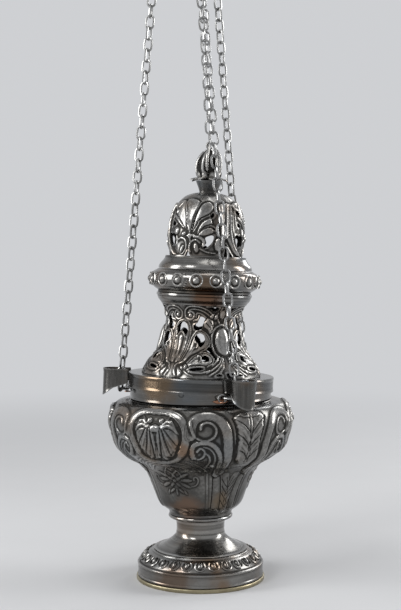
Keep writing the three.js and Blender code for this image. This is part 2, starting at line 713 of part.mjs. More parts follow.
// Chased work on one sector of the cupola, which isn't mirrored: a fan of leaves, scrolls and a strap.
const cupolaChasing = { mirrored: false, chasing: [
  { half: 2.8, lift: 1.0, path: [[-4, 16], [-18, 25], [-31, 30]] },
  { half: 2.8, lift: 1.0, path: [[0, 16], [3, 25], [3, 33]] },
  { half: 2.0, lift: 0.9, path: [[10, 16], [16, 26], [27, 32]] },
  { half: 2.8, tall: 2.8, lift: 1.1, path: [[-24, 15]] },
  { half: 2.0, lift: 1.0, path: [[-24, 7], [-10, 10], [-5, 4]] },
  { half: 2.0, lift: 1.1, path: [[2, 6], [12, 10], [17, 4]] },
  { half: 3.4, lift: 1.0, path: [[50, 4], [52, 16], [53, 33]] },
  { half: 2.4, lift: 0.9, path: [[90, 2], [72, 8], [66, 16], [70, 32]] },
] };

function cupola() {
  const outside = chasedBlank(cupolaOutline, cupolaChasing, cupolaSides, guideTurn(0) - turnStep / 2 + cupolaTurnDeg,
    cupolaH, cupolaH + cupolaHeight);
  const inner = shell(cupolaOutline, sheetWall, 6).slice(cupolaOutline.length).toReversed()
    .filter(([r, h]) => r > 4 && h < cupolaH + cupolaHeight - sheetWall);
  const roof = cupolaH + cupolaHeight - sheetWall - 0.1;
  const inside = turned([[0, cupolaH - 1], [inner[0][0], cupolaH - 1], ...inner, [4, roof], [0, roof]], sheetSides);
  const body = cut(outside, solid(inside), solid(disc(rodBoreRadius, roof - 2, roof + 4, 12)));
  const tools = [];
  for (let i = 0; i < chainCount; i += 1) {
    for (const drop of cupolaDrops) {
      const turn = guideTurn(i) - turnStep / 2 + drop.turn;
      tools.push(dropTool({ ...drop, turn, height: cupolaH + drop.height }, cupolaRadius));
    }
  }
  return unsolid(cut(body, ...tools));
}

function finialCup() {
  const z0 = finialH;
  return turned([[rodBoreRadius, z0], [finialCupLowRadius, z0], [finialCupLowRadius - 0.7, z0 + 2.4],
    [finialCupTopRadius - 1.6, z0 + 5.0], [finialCupTopRadius, z0 + finialCupHeight],
    [rodBoreRadius, z0 + finialCupHeight]], narrowSides);
}

function leafCollar() {
  const shape = new THREE.Shape();
  const steps = leafCount * 4;
  for (let i = 0; i < steps; i += 1) {
    const angle = (2 * Math.PI * i) / steps;
    const reach = leafSpread * (0.72 + 0.28 * Math.cos(leafCount * angle));
    shape[i === 0 ? 'moveTo' : 'lineTo'](reach * Math.cos(angle), reach * Math.sin(angle));
  }
  shape.closePath();
  const plate = new THREE.ExtrudeGeometry(shape, { depth: leafThickness, bevelEnabled: false, curveSegments: 1 });
  const body = cut(solid(plate), solid(disc(rodBoreRadius, -1, leafThickness + 1, 12)));
  return unsolid(body).translate(0, 0, leafH);
}

function finialBud() {
  const outline = smooth([[rodBoreRadius + 2.4, 0], [budRadius - 1.6, budHeight * 0.22],
    [budRadius - 0.6, budHeight * 0.5], [budRadius - 2.8, budHeight * 0.8], [rodBoreRadius + 0.9, budHeight]], 6);
  const core = [[rodBoreRadius, 0], ...outline, [rodBoreRadius, budHeight]];
  let body = solid(turned(core.map(([r, h]) => [r, budH + h]), 12));
  for (let i = 0; i < petalCount; i += 1) {
    const petal = dome(1, 1).scale(2.4, budHeight * 0.42, 1.3).rotateX(rad(4));
    body = body.add(solid(ontoWall(petal, budRadius - 1.4, (360 * i) / petalCount, budH + budHeight * 0.5)));
  }
  return unsolid(body);
}

const crownUnderH = finialH - seatGap - sheetWall;
const finialNutH = crownUnderH - seatGap - finialNutHeight - 0.4;

function finialEye() {
  const rodTop = finialLoopH - finialLoopRadius;
  const rod = solid(disc(finialRodRadius, finialNutH - 1.2, rodTop, 12));
  const loop = solid(wireRing(finialLoopRadius, finialLoopWire, 16).translate(0, 0, finialLoopH));
  return unsolid(join(rod, loop));
}

// Handle: plate, chain eyes, post and rings

const lidChainHoleX = lidChainTopX + lidChainSweep;

function handlePlate() {
  const z0 = plateZ;
  const z1 = z0 + plateThickness;
  const dish = solid(turned([[0, z0], [plateRadius - 1.6, z0], [plateRadius, z0 + 0.8],
    [plateRadius, z0 + plateRimHeight], [plateRadius - 1.2, z0 + plateRimHeight], [plateRadius - 2.0, z1],
    [0, z1]], 32)).translate(plateX, 0, 0);
  const hole = (x, y, radius, sides) => solid(disc(radius, z0 - 1, z1 + 2, sides).translate(x, y, 0));
  const tools = [hole(lidChainHoleX, 0, lidChainHoleRadius, 20), hole(plateX, 0, postWire + boltGap, 8)];
  for (let i = 0; i < chainCount; i += 1) {
    const place = chainHead(i);
    tools.push(hole(place.x, place.y, plateEyeWire + boltGap, 8));
  }
  return unsolid(cut(dish, ...tools));
}

// A loop on a shank that passes through the plate, with a rivet head on the far side.
function riveted(loopRadius, wire, side) {
  const under = -plateThickness - 2 * seatGap;
  const shank = solid(disc(wire, under, seatGap + wire, 8));
  const head = solid(disc(wire * 2, under - 0.7, under + 0.3, 10));
  const loop = solid(wireRing(loopRadius, wire, 14).translate(0, 0, seatGap + wire + loopRadius));
  return unsolid(join(shank, head, loop)).rotateX(side < 0 ? Math.PI : 0);
}

const postLoopZ = plateZ + plateThickness + postLoopRadius + postWire + seatGap;
const plateEye = (i) => riveted(plateEyeLoopRadius, plateEyeWire, -1)
  .rotateZ(rad(plateTurnDeg + turnStep * i)).translate(chainHead(i).x, chainHead(i).y, plateZ);
const handlePost = () => riveted(postLoopRadius, postWire, 1).translate(plateX, 0, plateZ + plateThickness);

// The suspension ring passes through the post's loop, so its lowest wire runs along Y.
const suspensionRing = () => wireRing(suspensionRingRadius, suspensionRingWire, 28).rotateZ(Math.PI / 2)
  .translate(plateX, 0, postLoopZ + postLoopRadius - postWire - suspensionRingWire + suspensionRingRadius - 0.3);

const pullRingFootZ = plateZ + plateRimHeight + 2;
const pullRing = () => wireRing(pullRingRadius, pullRingWire, 24).rotateZ(Math.PI / 2)
  .translate(lidChainTopX, 0, pullRingFootZ + pullRingRadius);

const lidToWorld = new THREE.Matrix4().makeTranslation(0, 0, lidZ)
  .multiply(new THREE.Matrix4().makeRotationFromEuler(new THREE.Euler(-lidNod, lidLean, 0)));
const lidChainFoot = vec(0, 0, finialLoopH).applyMatrix4(lidToWorld);
const lidChainHead = vec(lidChainTopX, 0, pullRingFootZ - pullRingWire);
const lidChain = () => chainBar(lidChainFoot, lidChainHead, finialLoopRadius + finialLoopWire + seatGap, seatGap);

// Scene graph

const silver = { color: 0xb4b1aa, roughness: 0.32, metalness: 1 };
const darkSilver = { color: 0x8d8a84, roughness: 0.42, metalness: 1 };
const chainSilver = { color: 0x9c9b98, roughness: 0.36, metalness: 1 };
const brass = { color: 0xb39a5c, roughness: 0.38, metalness: 1 };
const copper = { color: 0xa8795c, roughness: 0.45, metalness: 1 };
const iron = { color: 0x3b3937, roughness: 0.7, metalness: 0.8 };

const censer = new THREE.Group();
const lid = new THREE.Group();
lid.position.z = lidZ;
lid.rotation.set(-lidNod, lidLean, 0);
censer.add(lid);

function place(parent, name, geometry, finish) {
  const mesh = new THREE.Mesh(cleanMesh(geometry), new THREE.MeshStandardMaterial(finish));
  mesh.name = name;
  parent.add(mesh);
}

place(censer, 'foot_edge_ring', footEdgeRing(), brass);
place(censer, 'foot_shell', footShell(), silver);
place(censer, 'stem', stem(), silver);
place(censer, 'bowl_collar_ring', collarRing(), silver);
place(censer, 'bowl', bowl(), silver);
place(censer, 'rim_collar', rimCollar(), silver);
place(censer, 'stem_bolt', stemBolt(), brass);
place(censer, 'bolt_washer', boltWasher(), brass);
place(censer, 'stem_nut', hexNut(boreRadius, nutRadius, nutZ, nutZ + nutHeight), brass);
place(censer, 'fire_pan', firePan(), iron);
place(lid, 'lid_band', lidBand(), silver);
place(lid, 'pierced_skirt', skirt(), silver);
place(lid, 'knop', knop(), silver);
place(lid, 'flared_collar', flaredCollar(), silver);
place(lid, 'cupola', cupola(), silver);
place(lid, 'finial_cup', finialCup(), silver);
place(lid, 'leaf_collar', leafCollar(), darkSilver);
place(lid, 'finial_bud', finialBud(), darkSilver);
place(lid, 'finial_eye', finialEye(), darkSilver);
place(lid, 'finial_nut', hexNut(rodBoreRadius, finialNutRadius, finialNutH, finialNutH + finialNutHeight), brass);

for (let i = 0; i < chainCount; i += 1) {
  const eyeTurn = guideTurn(i) + eyeAheadDeg;
  const number = i + 1;
  place(censer, `chain_eye_${number}`, chainEye(eyeTurn), copper);
  place(censer, `eye_ring_${number}`, eyeRing(eyeTurn), chainSilver);
  place(censer, `hook_link_${number}`, hookLink(i), chainSilver);
  place(lid, `chain_guide_${number}`, chainGuide(guideTurn(i)), silver);
  place(censer, `support_chain_lower_${number}`, lowerChain(i), chainSilver);
  place(censer, `support_chain_upper_${number}`, upperChain(i), chainSilver);
  place(censer, `plate_eye_${number}`, plateEye(i), chainSilver);
}

place(censer, 'lid_chain', lidChain(), chainSilver);
place(censer, 'handle_plate', handlePlate(), silver);
place(censer, 'handle_post', handlePost(), silver);
place(censer, 'suspension_ring', suspensionRing(), silver);
place(censer, 'pull_ring', pullRing(), silver);

export default censer;
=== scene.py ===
# A silver baroque censer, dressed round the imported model. Metres, +Z up, +X is the viewer's right.
# Sizes are written in millimetres and multiplied by mm where a mesh is made.
import math

import bmesh
import bpy
import numpy as np
from mathutils import Matrix, Vector


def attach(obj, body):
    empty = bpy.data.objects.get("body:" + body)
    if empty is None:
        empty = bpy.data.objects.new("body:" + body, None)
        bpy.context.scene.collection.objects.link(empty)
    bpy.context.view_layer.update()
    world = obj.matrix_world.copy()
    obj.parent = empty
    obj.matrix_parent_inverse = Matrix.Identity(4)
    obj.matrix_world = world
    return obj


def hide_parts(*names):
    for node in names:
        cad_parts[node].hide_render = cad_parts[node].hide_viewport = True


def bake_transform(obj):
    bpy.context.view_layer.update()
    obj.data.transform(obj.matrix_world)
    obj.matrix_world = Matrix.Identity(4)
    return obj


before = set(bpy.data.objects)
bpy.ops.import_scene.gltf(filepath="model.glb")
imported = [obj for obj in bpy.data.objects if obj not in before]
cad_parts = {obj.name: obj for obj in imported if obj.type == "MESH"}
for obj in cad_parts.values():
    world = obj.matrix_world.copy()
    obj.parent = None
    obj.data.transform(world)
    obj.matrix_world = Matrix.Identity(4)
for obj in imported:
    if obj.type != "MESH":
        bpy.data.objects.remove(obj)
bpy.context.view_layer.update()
mm = 0.001
fullTurn = 2 * math.pi
print("frame loaded:", len(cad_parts), "nodes")


def added(name, data):
    holder = bpy.data.objects.new(name, data)
    bpy.context.scene.collection.objects.link(holder)
    return holder


# Camera, at the height and distance that the photograph was taken from

view = {"distance": 0.771, "height": 0.2046, "pitchDegrees": 2.54, "fieldDegrees": 27.56}
lens = bpy.data.cameras.new("camera")
lens.sensor_fit = "VERTICAL"
lens.angle = math.radians(view["fieldDegrees"])
camera = added("camera", lens)
camera.location = (0, -view["distance"], view["height"])
camera.rotation_euler = (math.radians(90 - view["pitchDegrees"]), 0, 0)
bpy.context.scene.camera = camera
print("camera placed")

# Node graphs, for shaders and for geometry


def operator(operation, swapped=False):
    return lambda value, other: value.maths(operation, other, swapped)


class Value:
    # An output socket that takes part in Python expressions.
    __add__, __radd__ = operator("ADD"), operator("ADD", True)
    __sub__, __rsub__ = operator("SUBTRACT"), operator("SUBTRACT", True)
    __mul__, __rmul__ = operator("MULTIPLY"), operator("MULTIPLY", True)
    __truediv__, __rtruediv__ = operator("DIVIDE"), operator("DIVIDE", True)
    __mod__, __rmod__ = operator("FLOORED_MODULO"), operator("FLOORED_MODULO", True)

    def __init__(self, graph, socket):
        self.graph, self.socket = graph, socket

    def maths(self, operation, other, swapped=False):
        pair = (other, self) if swapped else (self, other)
        return self.graph.add("ShaderNodeMath", {"operation": operation}, {0: pair[0], 1: pair[1]})

    def held(self, low=0.0, high=1.0):
        return self.maths("MAXIMUM", low).maths("MINIMUM", high)


class Graph:
    def __init__(self, tree):
        self.tree = tree

    def add(self, kind, settings=None, sockets=None, output=0):
        node = self.tree.nodes.new(kind)
        for name, setting in (settings or {}).items():
            setattr(node, name, setting)
        for name, value in (sockets or {}).items():
            if isinstance(value, Value):
                self.tree.links.new(value.socket, node.inputs[name])
            else:
                node.inputs[name].default_value = value
        return Value(self, node.outputs[output]) if len(node.outputs) else node

    def mixColour(self, factor, first, second):
        colours = [c if isinstance(c, Value) else (*c, 1) for c in (first, second)]
        return self.add("ShaderNodeMix", {"data_type": "RGBA"}, {0: factor, 6: colours[0], 7: colours[1]}, output=2)


# Finishes. Each mesh carries an attribute "wear": high on raised metal, low in the hollows.


class Finish(Graph):
    def __init__(self, name):
        self.material = bpy.data.materials.new(name)
        self.material.use_nodes = True
        super().__init__(self.material.node_tree)
        self.tree.nodes.clear()
        self.place = self.add("ShaderNodeTexCoord", output="Object")

    def noise(self, scale, detail=2.0, rough=0.5, stretch=None, shift=0.0):
        place = self.place
        if stretch or shift:
            place = self.add("ShaderNodeMapping", None, {
                "Vector": place, "Scale": stretch or (1, 1, 1), "Location": (shift, 0.7 * shift, 0.3 * shift)})
        return self.add("ShaderNodeTexNoise", None,
                        {"Vector": place, "Scale": scale, "Detail": detail, "Roughness": rough}, output="Fac")

    def ramp(self, factor, low, high):
        return self.add("ShaderNodeMapRange", {"interpolation_type": "SMOOTHSTEP"},
                        {"Value": factor, "From Min": low, "From Max": high})

    def finish(self, colour, rough, metallic, relief, depth, strength):
        bump = self.add("ShaderNodeBump", None, {"Height": relief, "Strength": strength, "Distance": depth})
        shader = self.add("ShaderNodeBsdfPrincipled", None,
                          {"Base Color": colour, "Roughness": rough, "Metallic": metallic, "Normal": bump})
        self.add("ShaderNodeOutputMaterial", None, {"Surface": shader})
        return self.material


# The silver's colours are set much darker than silver: a painted reflection of dark surroundings. Bright is the
# rubbed metal on raised parts, oxide the tarnish in the hollows, and brown and blue are tints.
silverTones = {
    "bright": (0.46, 0.45, 0.43), "middle": (0.175, 0.170, 0.160), "oxide": (0.018, 0.017, 0.015),
    "brown": (0.20, 0.125, 0.068), "blue": (0.135, 0.165, 0.195), "brightest": 1.15,
}
silverGrain = {"fine": 0.25, "speck": 0.5, "line": 0.25, "depth": 0.00012, "strength": 0.35, "scale": 2600.0}


# The tone scales the colours per part; all parts are one silver, so a lower or higher tone paints a part darker or
# lighter:
# painted shade and painted light. Oxide, brown and blue are shares, ground is the wear under which metal turns
# dark, and the patches are (centre, reach, colour) in metres: painted reflections, painted shade and brown patches.
def agedSilverWithPaintedLight(name, paintedLightTone, patch, shift, oxide=1.0, brown=0.4, blue=0.2, rough=0.24, grainAndPaintedStreak=None, ground=0.5,
               patchesAndPaintedLight=()):
    f, t, g = Finish(name), silverTones, silverGrain
    wear = f.add("ShaderNodeAttribute", {"attribute_name": "wear"}, output="Fac")
    cloud = f.noise(patch, 4.0, 0.6, shift=shift)
    speck = f.noise(patch * 9, 3.0, 0.6, shift=shift + 1)
    fine = f.noise(g["scale"], 2.0)
    # Streaks: turning lines running round the band, foot and stem, and on the guides upright streaks that are
    # painted reflections.
    line = f.noise(1.0, 3.0, 0.6, stretch=grainAndPaintedStreak) if grainAndPaintedStreak else speck
    height = f.ramp(wear, 0.12, 0.88)
    dark = ((ground - height) * 2.4 + (cloud - 0.5) * 0.8 + (speck - 0.5) * 0.5 + 0.1).held() * oxide
    # Raised metal is rubbed bright; the clouds and streaks added here are painted sheen, lighter patches standing
    # for reflections.
    rubbedAndPaintedSheen = ((height - 0.5) * 1.1 + (line - 0.5) * 1.1 + (cloud - 0.5) * 0.7 + (speck - 0.5) * 0.4 + 0.12).held()
    colour = f.mixColour(rubbedAndPaintedSheen, [c * paintedLightTone for c in t["middle"]],
                         [c * min(paintedLightTone, t["brightest"]) for c in t["bright"]])
    tint = f.ramp(f.noise(patch * 0.55, 3.0, 0.55, shift=shift + 5), 0.5, 0.72) * brown
    cold = f.ramp(f.noise(patch * 0.7, 2.0, 0.5, shift=shift + 9), 0.5, 0.7) * blue
    colour = f.mixColour(tint, f.mixColour(cold, colour, t["blue"]), t["brown"])
    # Patches mixed in by distance from their centres: painted reflections and painted shade, and brown patches.
    for centre, reach, patchColour in patchesAndPaintedLight:
        away = f.add("ShaderNodeVectorMath", {"operation": "DISTANCE"}, {0: f.place, 1: centre}, output="Value")
        near = 1 - f.ramp(away + (cloud - 0.5) * reach * 1.6, reach * 0.3, reach)
        colour = f.mixColour(near * 0.8, colour, patchColour)
    colour = f.mixColour(dark * 0.93, colour, t["oxide"])
    uneven = (cloud - 0.5) * 0.16 + (speck - 0.5) * 0.12 + (fine - 0.5) * 0.06
    relief = fine * g["fine"] + speck * g["speck"] + line * g["line"]
    return f.finish(colour, (rough + dark * 0.3 + uneven).held(0.08, 0.8), 1.0, relief, g["depth"], g["strength"])


def plainMetal(name, colour, darker, rough, metallic=1.0, depth=0.00012):
    f = Finish(name)
    cloud, speck, fine = f.noise(160.0, 4.0, 0.6), f.noise(1120.0, 3.0, 0.6, shift=2.0), f.noise(2400.0, 2.0)
    dirt = (f.ramp(cloud, 0.42, 0.68) * 0.5 + (speck - 0.5) * 0.5).held()
    roughness = (rough + dirt * 0.25 + (fine - 0.5) * 0.12).held(0.08, 0.95)
    return f.finish(f.mixColour(dirt, colour, darker), roughness, metallic, fine * 0.4 + speck * 0.6, depth, 0.4)


# Each part's tone paints it lighter or darker: the band and the guides are painted dark, the stem and the pierced
# work light.
silvers = {
    "bowl": {"paintedLightTone": 0.72, "patch": 55.0, "shift": 3.0, "oxide": 0.92, "blue": 0.25, "ground": 0.4,
             # Painted shade: the first patch darkens the cup all round under the belly. The other three are brown
             # patches on the front of the belly and the cup.
             "patchesAndPaintedLight": [((0, 0, 0.045), 0.056, (0.06, 0.059, 0.056)),
                        ((-0.010, -0.0555, 0.087), 0.008, (0.22, 0.14, 0.09)),
                        ((-0.008, -0.024, 0.047), 0.013, (0.19, 0.125, 0.09)),
                        ((0.012, -0.026, 0.052), 0.010, (0.17, 0.13, 0.09))]},
    "pierced": {"paintedLightTone": 0.97, "patch": 75.0, "shift": 8.0, "blue": 0.15, "ground": 0.44},
    "plain": {"paintedLightTone": 0.62, "patch": 45.0, "shift": 12.0, "oxide": 0.8, "brown": 0.55, "blue": 0.35, "rough": 0.19,
              # Two brown patches on the front of the knop.
              "grainAndPaintedStreak": (26, 26, 900), "patchesAndPaintedLight": [((0.003, -0.033, 0.180), 0.014, (0.13, 0.085, 0.05)),
                                                  ((0.004, -0.029, 0.172), 0.012, (0.16, 0.085, 0.05))]},
    "band": {"paintedLightTone": 0.38, "patch": 45.0, "shift": 12.0, "oxide": 0.8, "brown": 0.5, "blue": 0.4, "rough": 0.19,
             # Painted reflections on the front of the band, brown on the left and blue on the right.
             "grainAndPaintedStreak": (26, 26, 900), "patchesAndPaintedLight": [((-0.028, -0.035, 0.124), 0.016, (0.15, 0.105, 0.065)),
                                                 ((0.027, -0.036, 0.124), 0.014, (0.10, 0.13, 0.18))]},
    "foot": {"paintedLightTone": 0.68, "patch": 60.0, "shift": 17.0, "brown": 0.75, "blue": 0.1, "grainAndPaintedStreak": (30, 30, 700),
             # Painted reflection: a brown patch on the front left of the foot.
             "patchesAndPaintedLight": [((-0.018, -0.036, 0.006), 0.017, (0.15, 0.105, 0.075))]},
    "stem": {"paintedLightTone": 1.0, "patch": 60.0, "shift": 17.0, "oxide": 0.9, "rough": 0.17, "grainAndPaintedStreak": (30, 30, 700)},
    # Upright streaks on the guides: painted reflections on their curved faces.
    "guide": {"paintedLightTone": 0.46, "patch": 90.0, "shift": 21.0, "oxide": 0.7, "blue": 0.3, "grainAndPaintedStreak": (700, 700, 40)},
}
finishes = {name: agedSilverWithPaintedLight(f"{name}_silver", **form) for name, form in silvers.items()}
finishes["chain"] = plainMetal("chain_silver", (0.34, 0.34, 0.335), (0.10, 0.098, 0.094), 0.26)
finishes["edge"] = plainMetal("edge_brass", (0.35, 0.31, 0.205), (0.18, 0.14, 0.085), 0.33)
finishes["brass"] = plainMetal("bolt_brass", (0.42, 0.31, 0.14), (0.16, 0.11, 0.06), 0.4)
finishes["copper"] = plainMetal("eye_copper", (0.42, 0.22, 0.14), (0.17, 0.09, 0.06), 0.4)
finishes["iron"] = plainMetal("pan_iron", (0.05, 0.046, 0.043), (0.09, 0.045, 0.025), 0.72, 0.55, 0.0003)
print("finishes made")

# Mesh making. A shape is (points, faces, wear), and no wear means 0.5 all over.


# A smooth curve through points.
def curve(points, spacing, closed=False):
    p = np.asarray(points, float)
    p = np.vstack([p[-1], p, p[0], p[1]] if closed else [2 * p[0] - p[1], p, 2 * p[-1] - p[-2]])
    runs = []
    for a, b, c, d in zip(p[:-3], p[1:-2], p[2:-1], p[3:]):
        count = max(2, math.ceil(np.linalg.norm(c - b) / spacing))
        t = np.linspace(0, 1, count, endpoint=False)[:, None]
        runs.append(0.5 * (2 * b + (c - a) * t + (2 * a - 5 * b + 4 * c - d) * t ** 2
                           + (3 * b - a - 3 * c + d) * t ** 3))
    return np.vstack(runs if closed else [*runs, p[-2]])


def straight(points, spacing):
    p = np.asarray(points, float)
    runs = []
    for a, b in zip(p[:-1], p[1:]):
        count = max(1, math.ceil(np.linalg.norm(b - a) / spacing))
        runs.append(a + (b - a) * np.linspace(0, 1, count, endpoint=False)[:, None])
    return np.vstack([*runs, p[-1]])


lidSeat = {"height": 118.728, "leanDegrees": 2.3, "nodDegrees": 0.6}
lidPlace = (Matrix.Translation((0, 0, lidSeat["height"]))
            @ Matrix.Rotation(math.radians(-lidSeat["nodDegrees"]), 4, "X")
            @ Matrix.Rotation(math.radians(lidSeat["leanDegrees"]), 4, "Y"))


def placed(points, matrix):
    m = np.array(matrix)
    return np.asarray(points) @ m[:3, :3].T + m[:3, 3]


def moved(shape, matrix):
    return placed(shape[0], matrix), *shape[1:]


def worn(shape, wear):
    return shape[0], shape[1], [wear] * len(shape[0])


def meshOf(name, points, faces, wear=None):
    points = np.asarray(points, float)
    mesh = bpy.data.meshes.new(name)
    mesh.from_pydata((points * mm).tolist(), [], faces)
    wear = np.full(len(points), 0.5) if wear is None else wear
    mesh.attributes.new("wear", "FLOAT", "POINT").data.foreach_set("value", np.asarray(wear, np.float32))
    return mesh


def settle(piece, body, node):
    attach(piece, body)
    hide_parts(node)


# A piece over its CAD node. With outward, the normals of its faces are worked out anew.
def dress(name, node, shape, finish, body="bowl_and_handle", onLid=False, sharp=40, outward=False):
    points, faces, wear = moved(shape, lidPlace) if onLid else shape
    mesh = meshOf(name, points, faces, wear)
    if outward:
        work = bmesh.new()
        work.from_mesh(mesh)
        bmesh.ops.recalc_face_normals(work, faces=work.faces)
        work.to_mesh(mesh)
        work.free()
    mesh.materials.append(finishes[finish])
    mesh.shade_smooth()
    if sharp:
        mesh.set_sharp_from_angle(angle=math.radians(sharp))
    settle(added(name, mesh), "lid" if onLid else body, node)


# Joins several shapes into one.
def gathered(shapes):
    points, faces, wear, start = [], [], [], 0
    for shapePoints, shapeFaces, shapeWear in shapes:
        points.append(shapePoints)
        wear.append(np.full(len(shapePoints), 0.5) if shapeWear is None else shapeWear)
        faces += [[k + start for k in face] for face in shapeFaces]
        start += len(shapePoints)
    return np.vstack(points), faces, np.concatenate(wear)


# Faces between rings of points that are laid one after the other.
def tube(rings, sides, closed=False, ends=True):
    faces = []
    for k in range(rings if closed else rings - 1):
        low, high = k * sides, (k + 1) % rings * sides
        faces += [[low + j, low + (j + 1) % sides, high + (j + 1) % sides, high + j] for j in range(sides)]
    if ends and not closed:
        faces += [list(range(sides))[::-1], list(range((rings - 1) * sides, rings * sides))]
    return faces


# Faces of a thin sheet: a grid of rows and columns, its other side after it, and the border between them.
def slab(rows, columns):
    block, faces = rows * columns, []
    for k in range(rows - 1):
        for a in range(k * columns, k * columns + columns - 1):
            faces.append([a, a + columns, a + columns + 1, a + 1])
            faces.append([block + a, block + a + 1, block + a + columns + 1, block + a + columns])
    border = (list(range(columns)) + [k * columns + columns - 1 for k in range(1, rows)]
              + [(rows - 1) * columns + j for j in range(columns - 2, -1, -1)]
              + [k * columns for k in range(rows - 2, 0, -1)])
    return faces + [[a, b, block + b, block + a] for a, b in zip(border, border[1:] + border[:1])]


# Height above the neighbours within reach along a profile, as wear from 0 to 1.
def profileWear(p, reach=1.6, gain=1.1):
    ahead = np.roll(p, -1, 0) - np.roll(p, 1, 0)
    out = np.stack([ahead[:, 1], -ahead[:, 0]], 1)
    out /= np.maximum(np.linalg.norm(out, axis=1), 1e-9)[:, None]
    around = [(at - p[np.linalg.norm(p - at, axis=1) < reach].mean(0)) @ way for at, way in zip(p, out)]
    return np.clip(0.5 + gain * np.array(around), 0, 1)


# A profile of (radius, height) points, running up the outside, turned about Z.
def turned(profile, sides, closed=True):
    p = np.asarray(profile, float)
    turn = np.linspace(0, fullTurn, sides, endpoint=False)
    points, faces, wear, rings = [], [], [], []
    for (radius, height), share in zip(p, profileWear(p)):
        start = len(points)
        if radius < 1e-6:
            points.append((0, 0, height))
        else:
            points += [(radius * math.cos(a), radius * math.sin(a), height) for a in turn]
        rings.append(list(range(start, len(points))))
        wear += [share] * len(rings[-1])
    for low, high in zip(rings, rings[1:] + rings[:1] if closed else rings[1:]):
        if len(low) == 1 and len(high) == 1:
            continue
        for j in range(sides):
            k = (j + 1) % sides
            if len(low) == 1:
                faces.append([low[0], high[k], high[j]])
            elif len(high) == 1:
                faces.append([low[j], low[k], high[0]])
            else:
                faces.append([low[j], low[k], high[k], high[j]])
    return np.array(points), faces, np.array(wear)


# Wire along a path, with flat ends unless the path is closed.
def wireShape(path, radius, sides=10, closed=False):
    p = np.asarray(path, float)
    along = np.roll(p, -1, 0) - np.roll(p, 1, 0) if closed else np.gradient(p, axis=0)
    along /= np.linalg.norm(along, axis=1)[:, None]
    side = np.cross(along[0], (0, 0, 1) if abs(along[0][2]) < 0.9 else (0, 1, 0))
    turn = np.linspace(0, fullTurn, sides, endpoint=False)[:, None]
    rings = []
    for at, way in zip(p, along):
        side = side - way * (side @ way)
        side /= np.linalg.norm(side)
        rings.append(at + radius * (np.cos(turn) * side + np.sin(turn) * np.cross(way, side)))
    return np.vstack(rings), tube(len(p), sides, closed), None


def ringPath(centre, radius, axis, steps=40, stretch=0.0, stretchAlong=None):
    axis = Vector(axis).normalized()
    first = Vector(stretchAlong).normalized() if stretchAlong else axis.orthogonal().normalized()
    second = axis.cross(first)
    turn = np.linspace(0, fullTurn, steps, endpoint=False)
    c, s = np.cos(turn), np.sin(turn)
    far = np.sign(np.round(c, 6)) * stretch
    return (np.array(centre) + (radius * c + far)[:, None] * np.array(first)
            + (radius * s)[:, None] * np.array(second))


def polar(radius, degrees, height):
    turn = math.radians(degrees)
    return np.array((radius * math.cos(turn), radius * math.sin(turn), height))


# An oval dome over the YZ plane, its outside towards +X. Pointed narrows its lower half, or below 0 widens it.
def ovalDome(wide, tall, rise, rings=5, sides=14, pointed=0.0):
    points, wear = [], []
    for k in range(rings):
        share = 1 - (k / rings)
        for j in range(sides):
            a = fullTurn * j / sides
            narrow = 1 - pointed * max(0, -math.sin(a))
            points.append((rise * (1 - share ** 2), wide * share * narrow * math.cos(a),
                           tall * share * math.sin(a)))
            wear.append(0.25 + 0.7 * (1 - share))
    points.append((rise, 0, 0))
    last = (rings - 1) * sides
    faces = tube(rings, sides, ends=False)
    faces += [[last + j, last + (j + 1) % sides, last + sides] for j in range(sides)]
    return np.array(points), [*faces, list(range(sides))[::-1]], [*wear, 0.95]

# Geometry Nodes


class Maker(Graph):
    def __init__(self, name, floats):
        super().__init__(bpy.data.node_groups.new(name, "GeometryNodeTree"))
        face = self.tree.interface
        face.new_socket(name="Geometry", in_out="OUTPUT", socket_type="NodeSocketGeometry")
        face.new_socket(name="Geometry", in_out="INPUT", socket_type="NodeSocketGeometry")
        for label in ("Count", "Seed"):
            face.new_socket(name=label, in_out="INPUT", socket_type="NodeSocketInt")
        for label in floats:
            face.new_socket(name=label, in_out="INPUT", socket_type="NodeSocketFloat")
        self.entry = self.tree.nodes.new("NodeGroupInput")

    def given(self, label):
        return Value(self, self.entry.outputs[label])

    def drawn(self, low, high, seed):
        return self.add("FunctionNodeRandomValue", {"data_type": "FLOAT"},
                        {"Min": low, "Max": high, "Seed": seed}, output=1)

    def deliver(self, spots, instance, rotation, size, finish):
        copies = self.add("GeometryNodeInstanceOnPoints", None,
                          {"Points": spots, "Instance": instance, "Rotation": rotation, "Scale": size})
        real = self.add("GeometryNodeRealizeInstances", None, {"Geometry": copies})
        done = self.add("GeometryNodeSetMaterial", None, {"Geometry": real, "Material": finish})
        self.add("NodeGroupOutput", None, {"Geometry": done})
        return self.tree


# Runs a tree over a base mesh and returns the result as a plain mesh object.
def grown(name, tree, base, values, finish, onLid=False):
    host = added(name + "_base", base)
    modifier = host.modifiers.new("grow", "NODES")
    modifier.node_group = tree
    for item in tree.interface.items_tree:
        if item.in_out == "INPUT" and item.name in values:
            modifier[item.identifier] = values[item.name]
    mesh = bpy.data.meshes.new_from_object(host.evaluated_get(bpy.context.evaluated_depsgraph_get()))
    mesh.name = name
    bpy.data.objects.remove(host)
    if onLid:
        for step in (Matrix.Scale(1 / mm, 4), lidPlace, Matrix.Scale(mm, 4)):
            mesh.transform(step)
    mesh.materials.clear()
    mesh.materials.append(finishes[finish])
    mesh.polygons.foreach_set("material_index", np.zeros(len(mesh.polygons), np.int32))
    mesh.shade_smooth()
    mesh.set_sharp_from_angle(angle=math.radians(50))
    return added(name, mesh)


link = {"length": 9.5, "width": 6.4, "wire": 0.66, "pitch": 6.86, "jitterDegrees": 7, "steps": 16,
        "wireSides": 7}


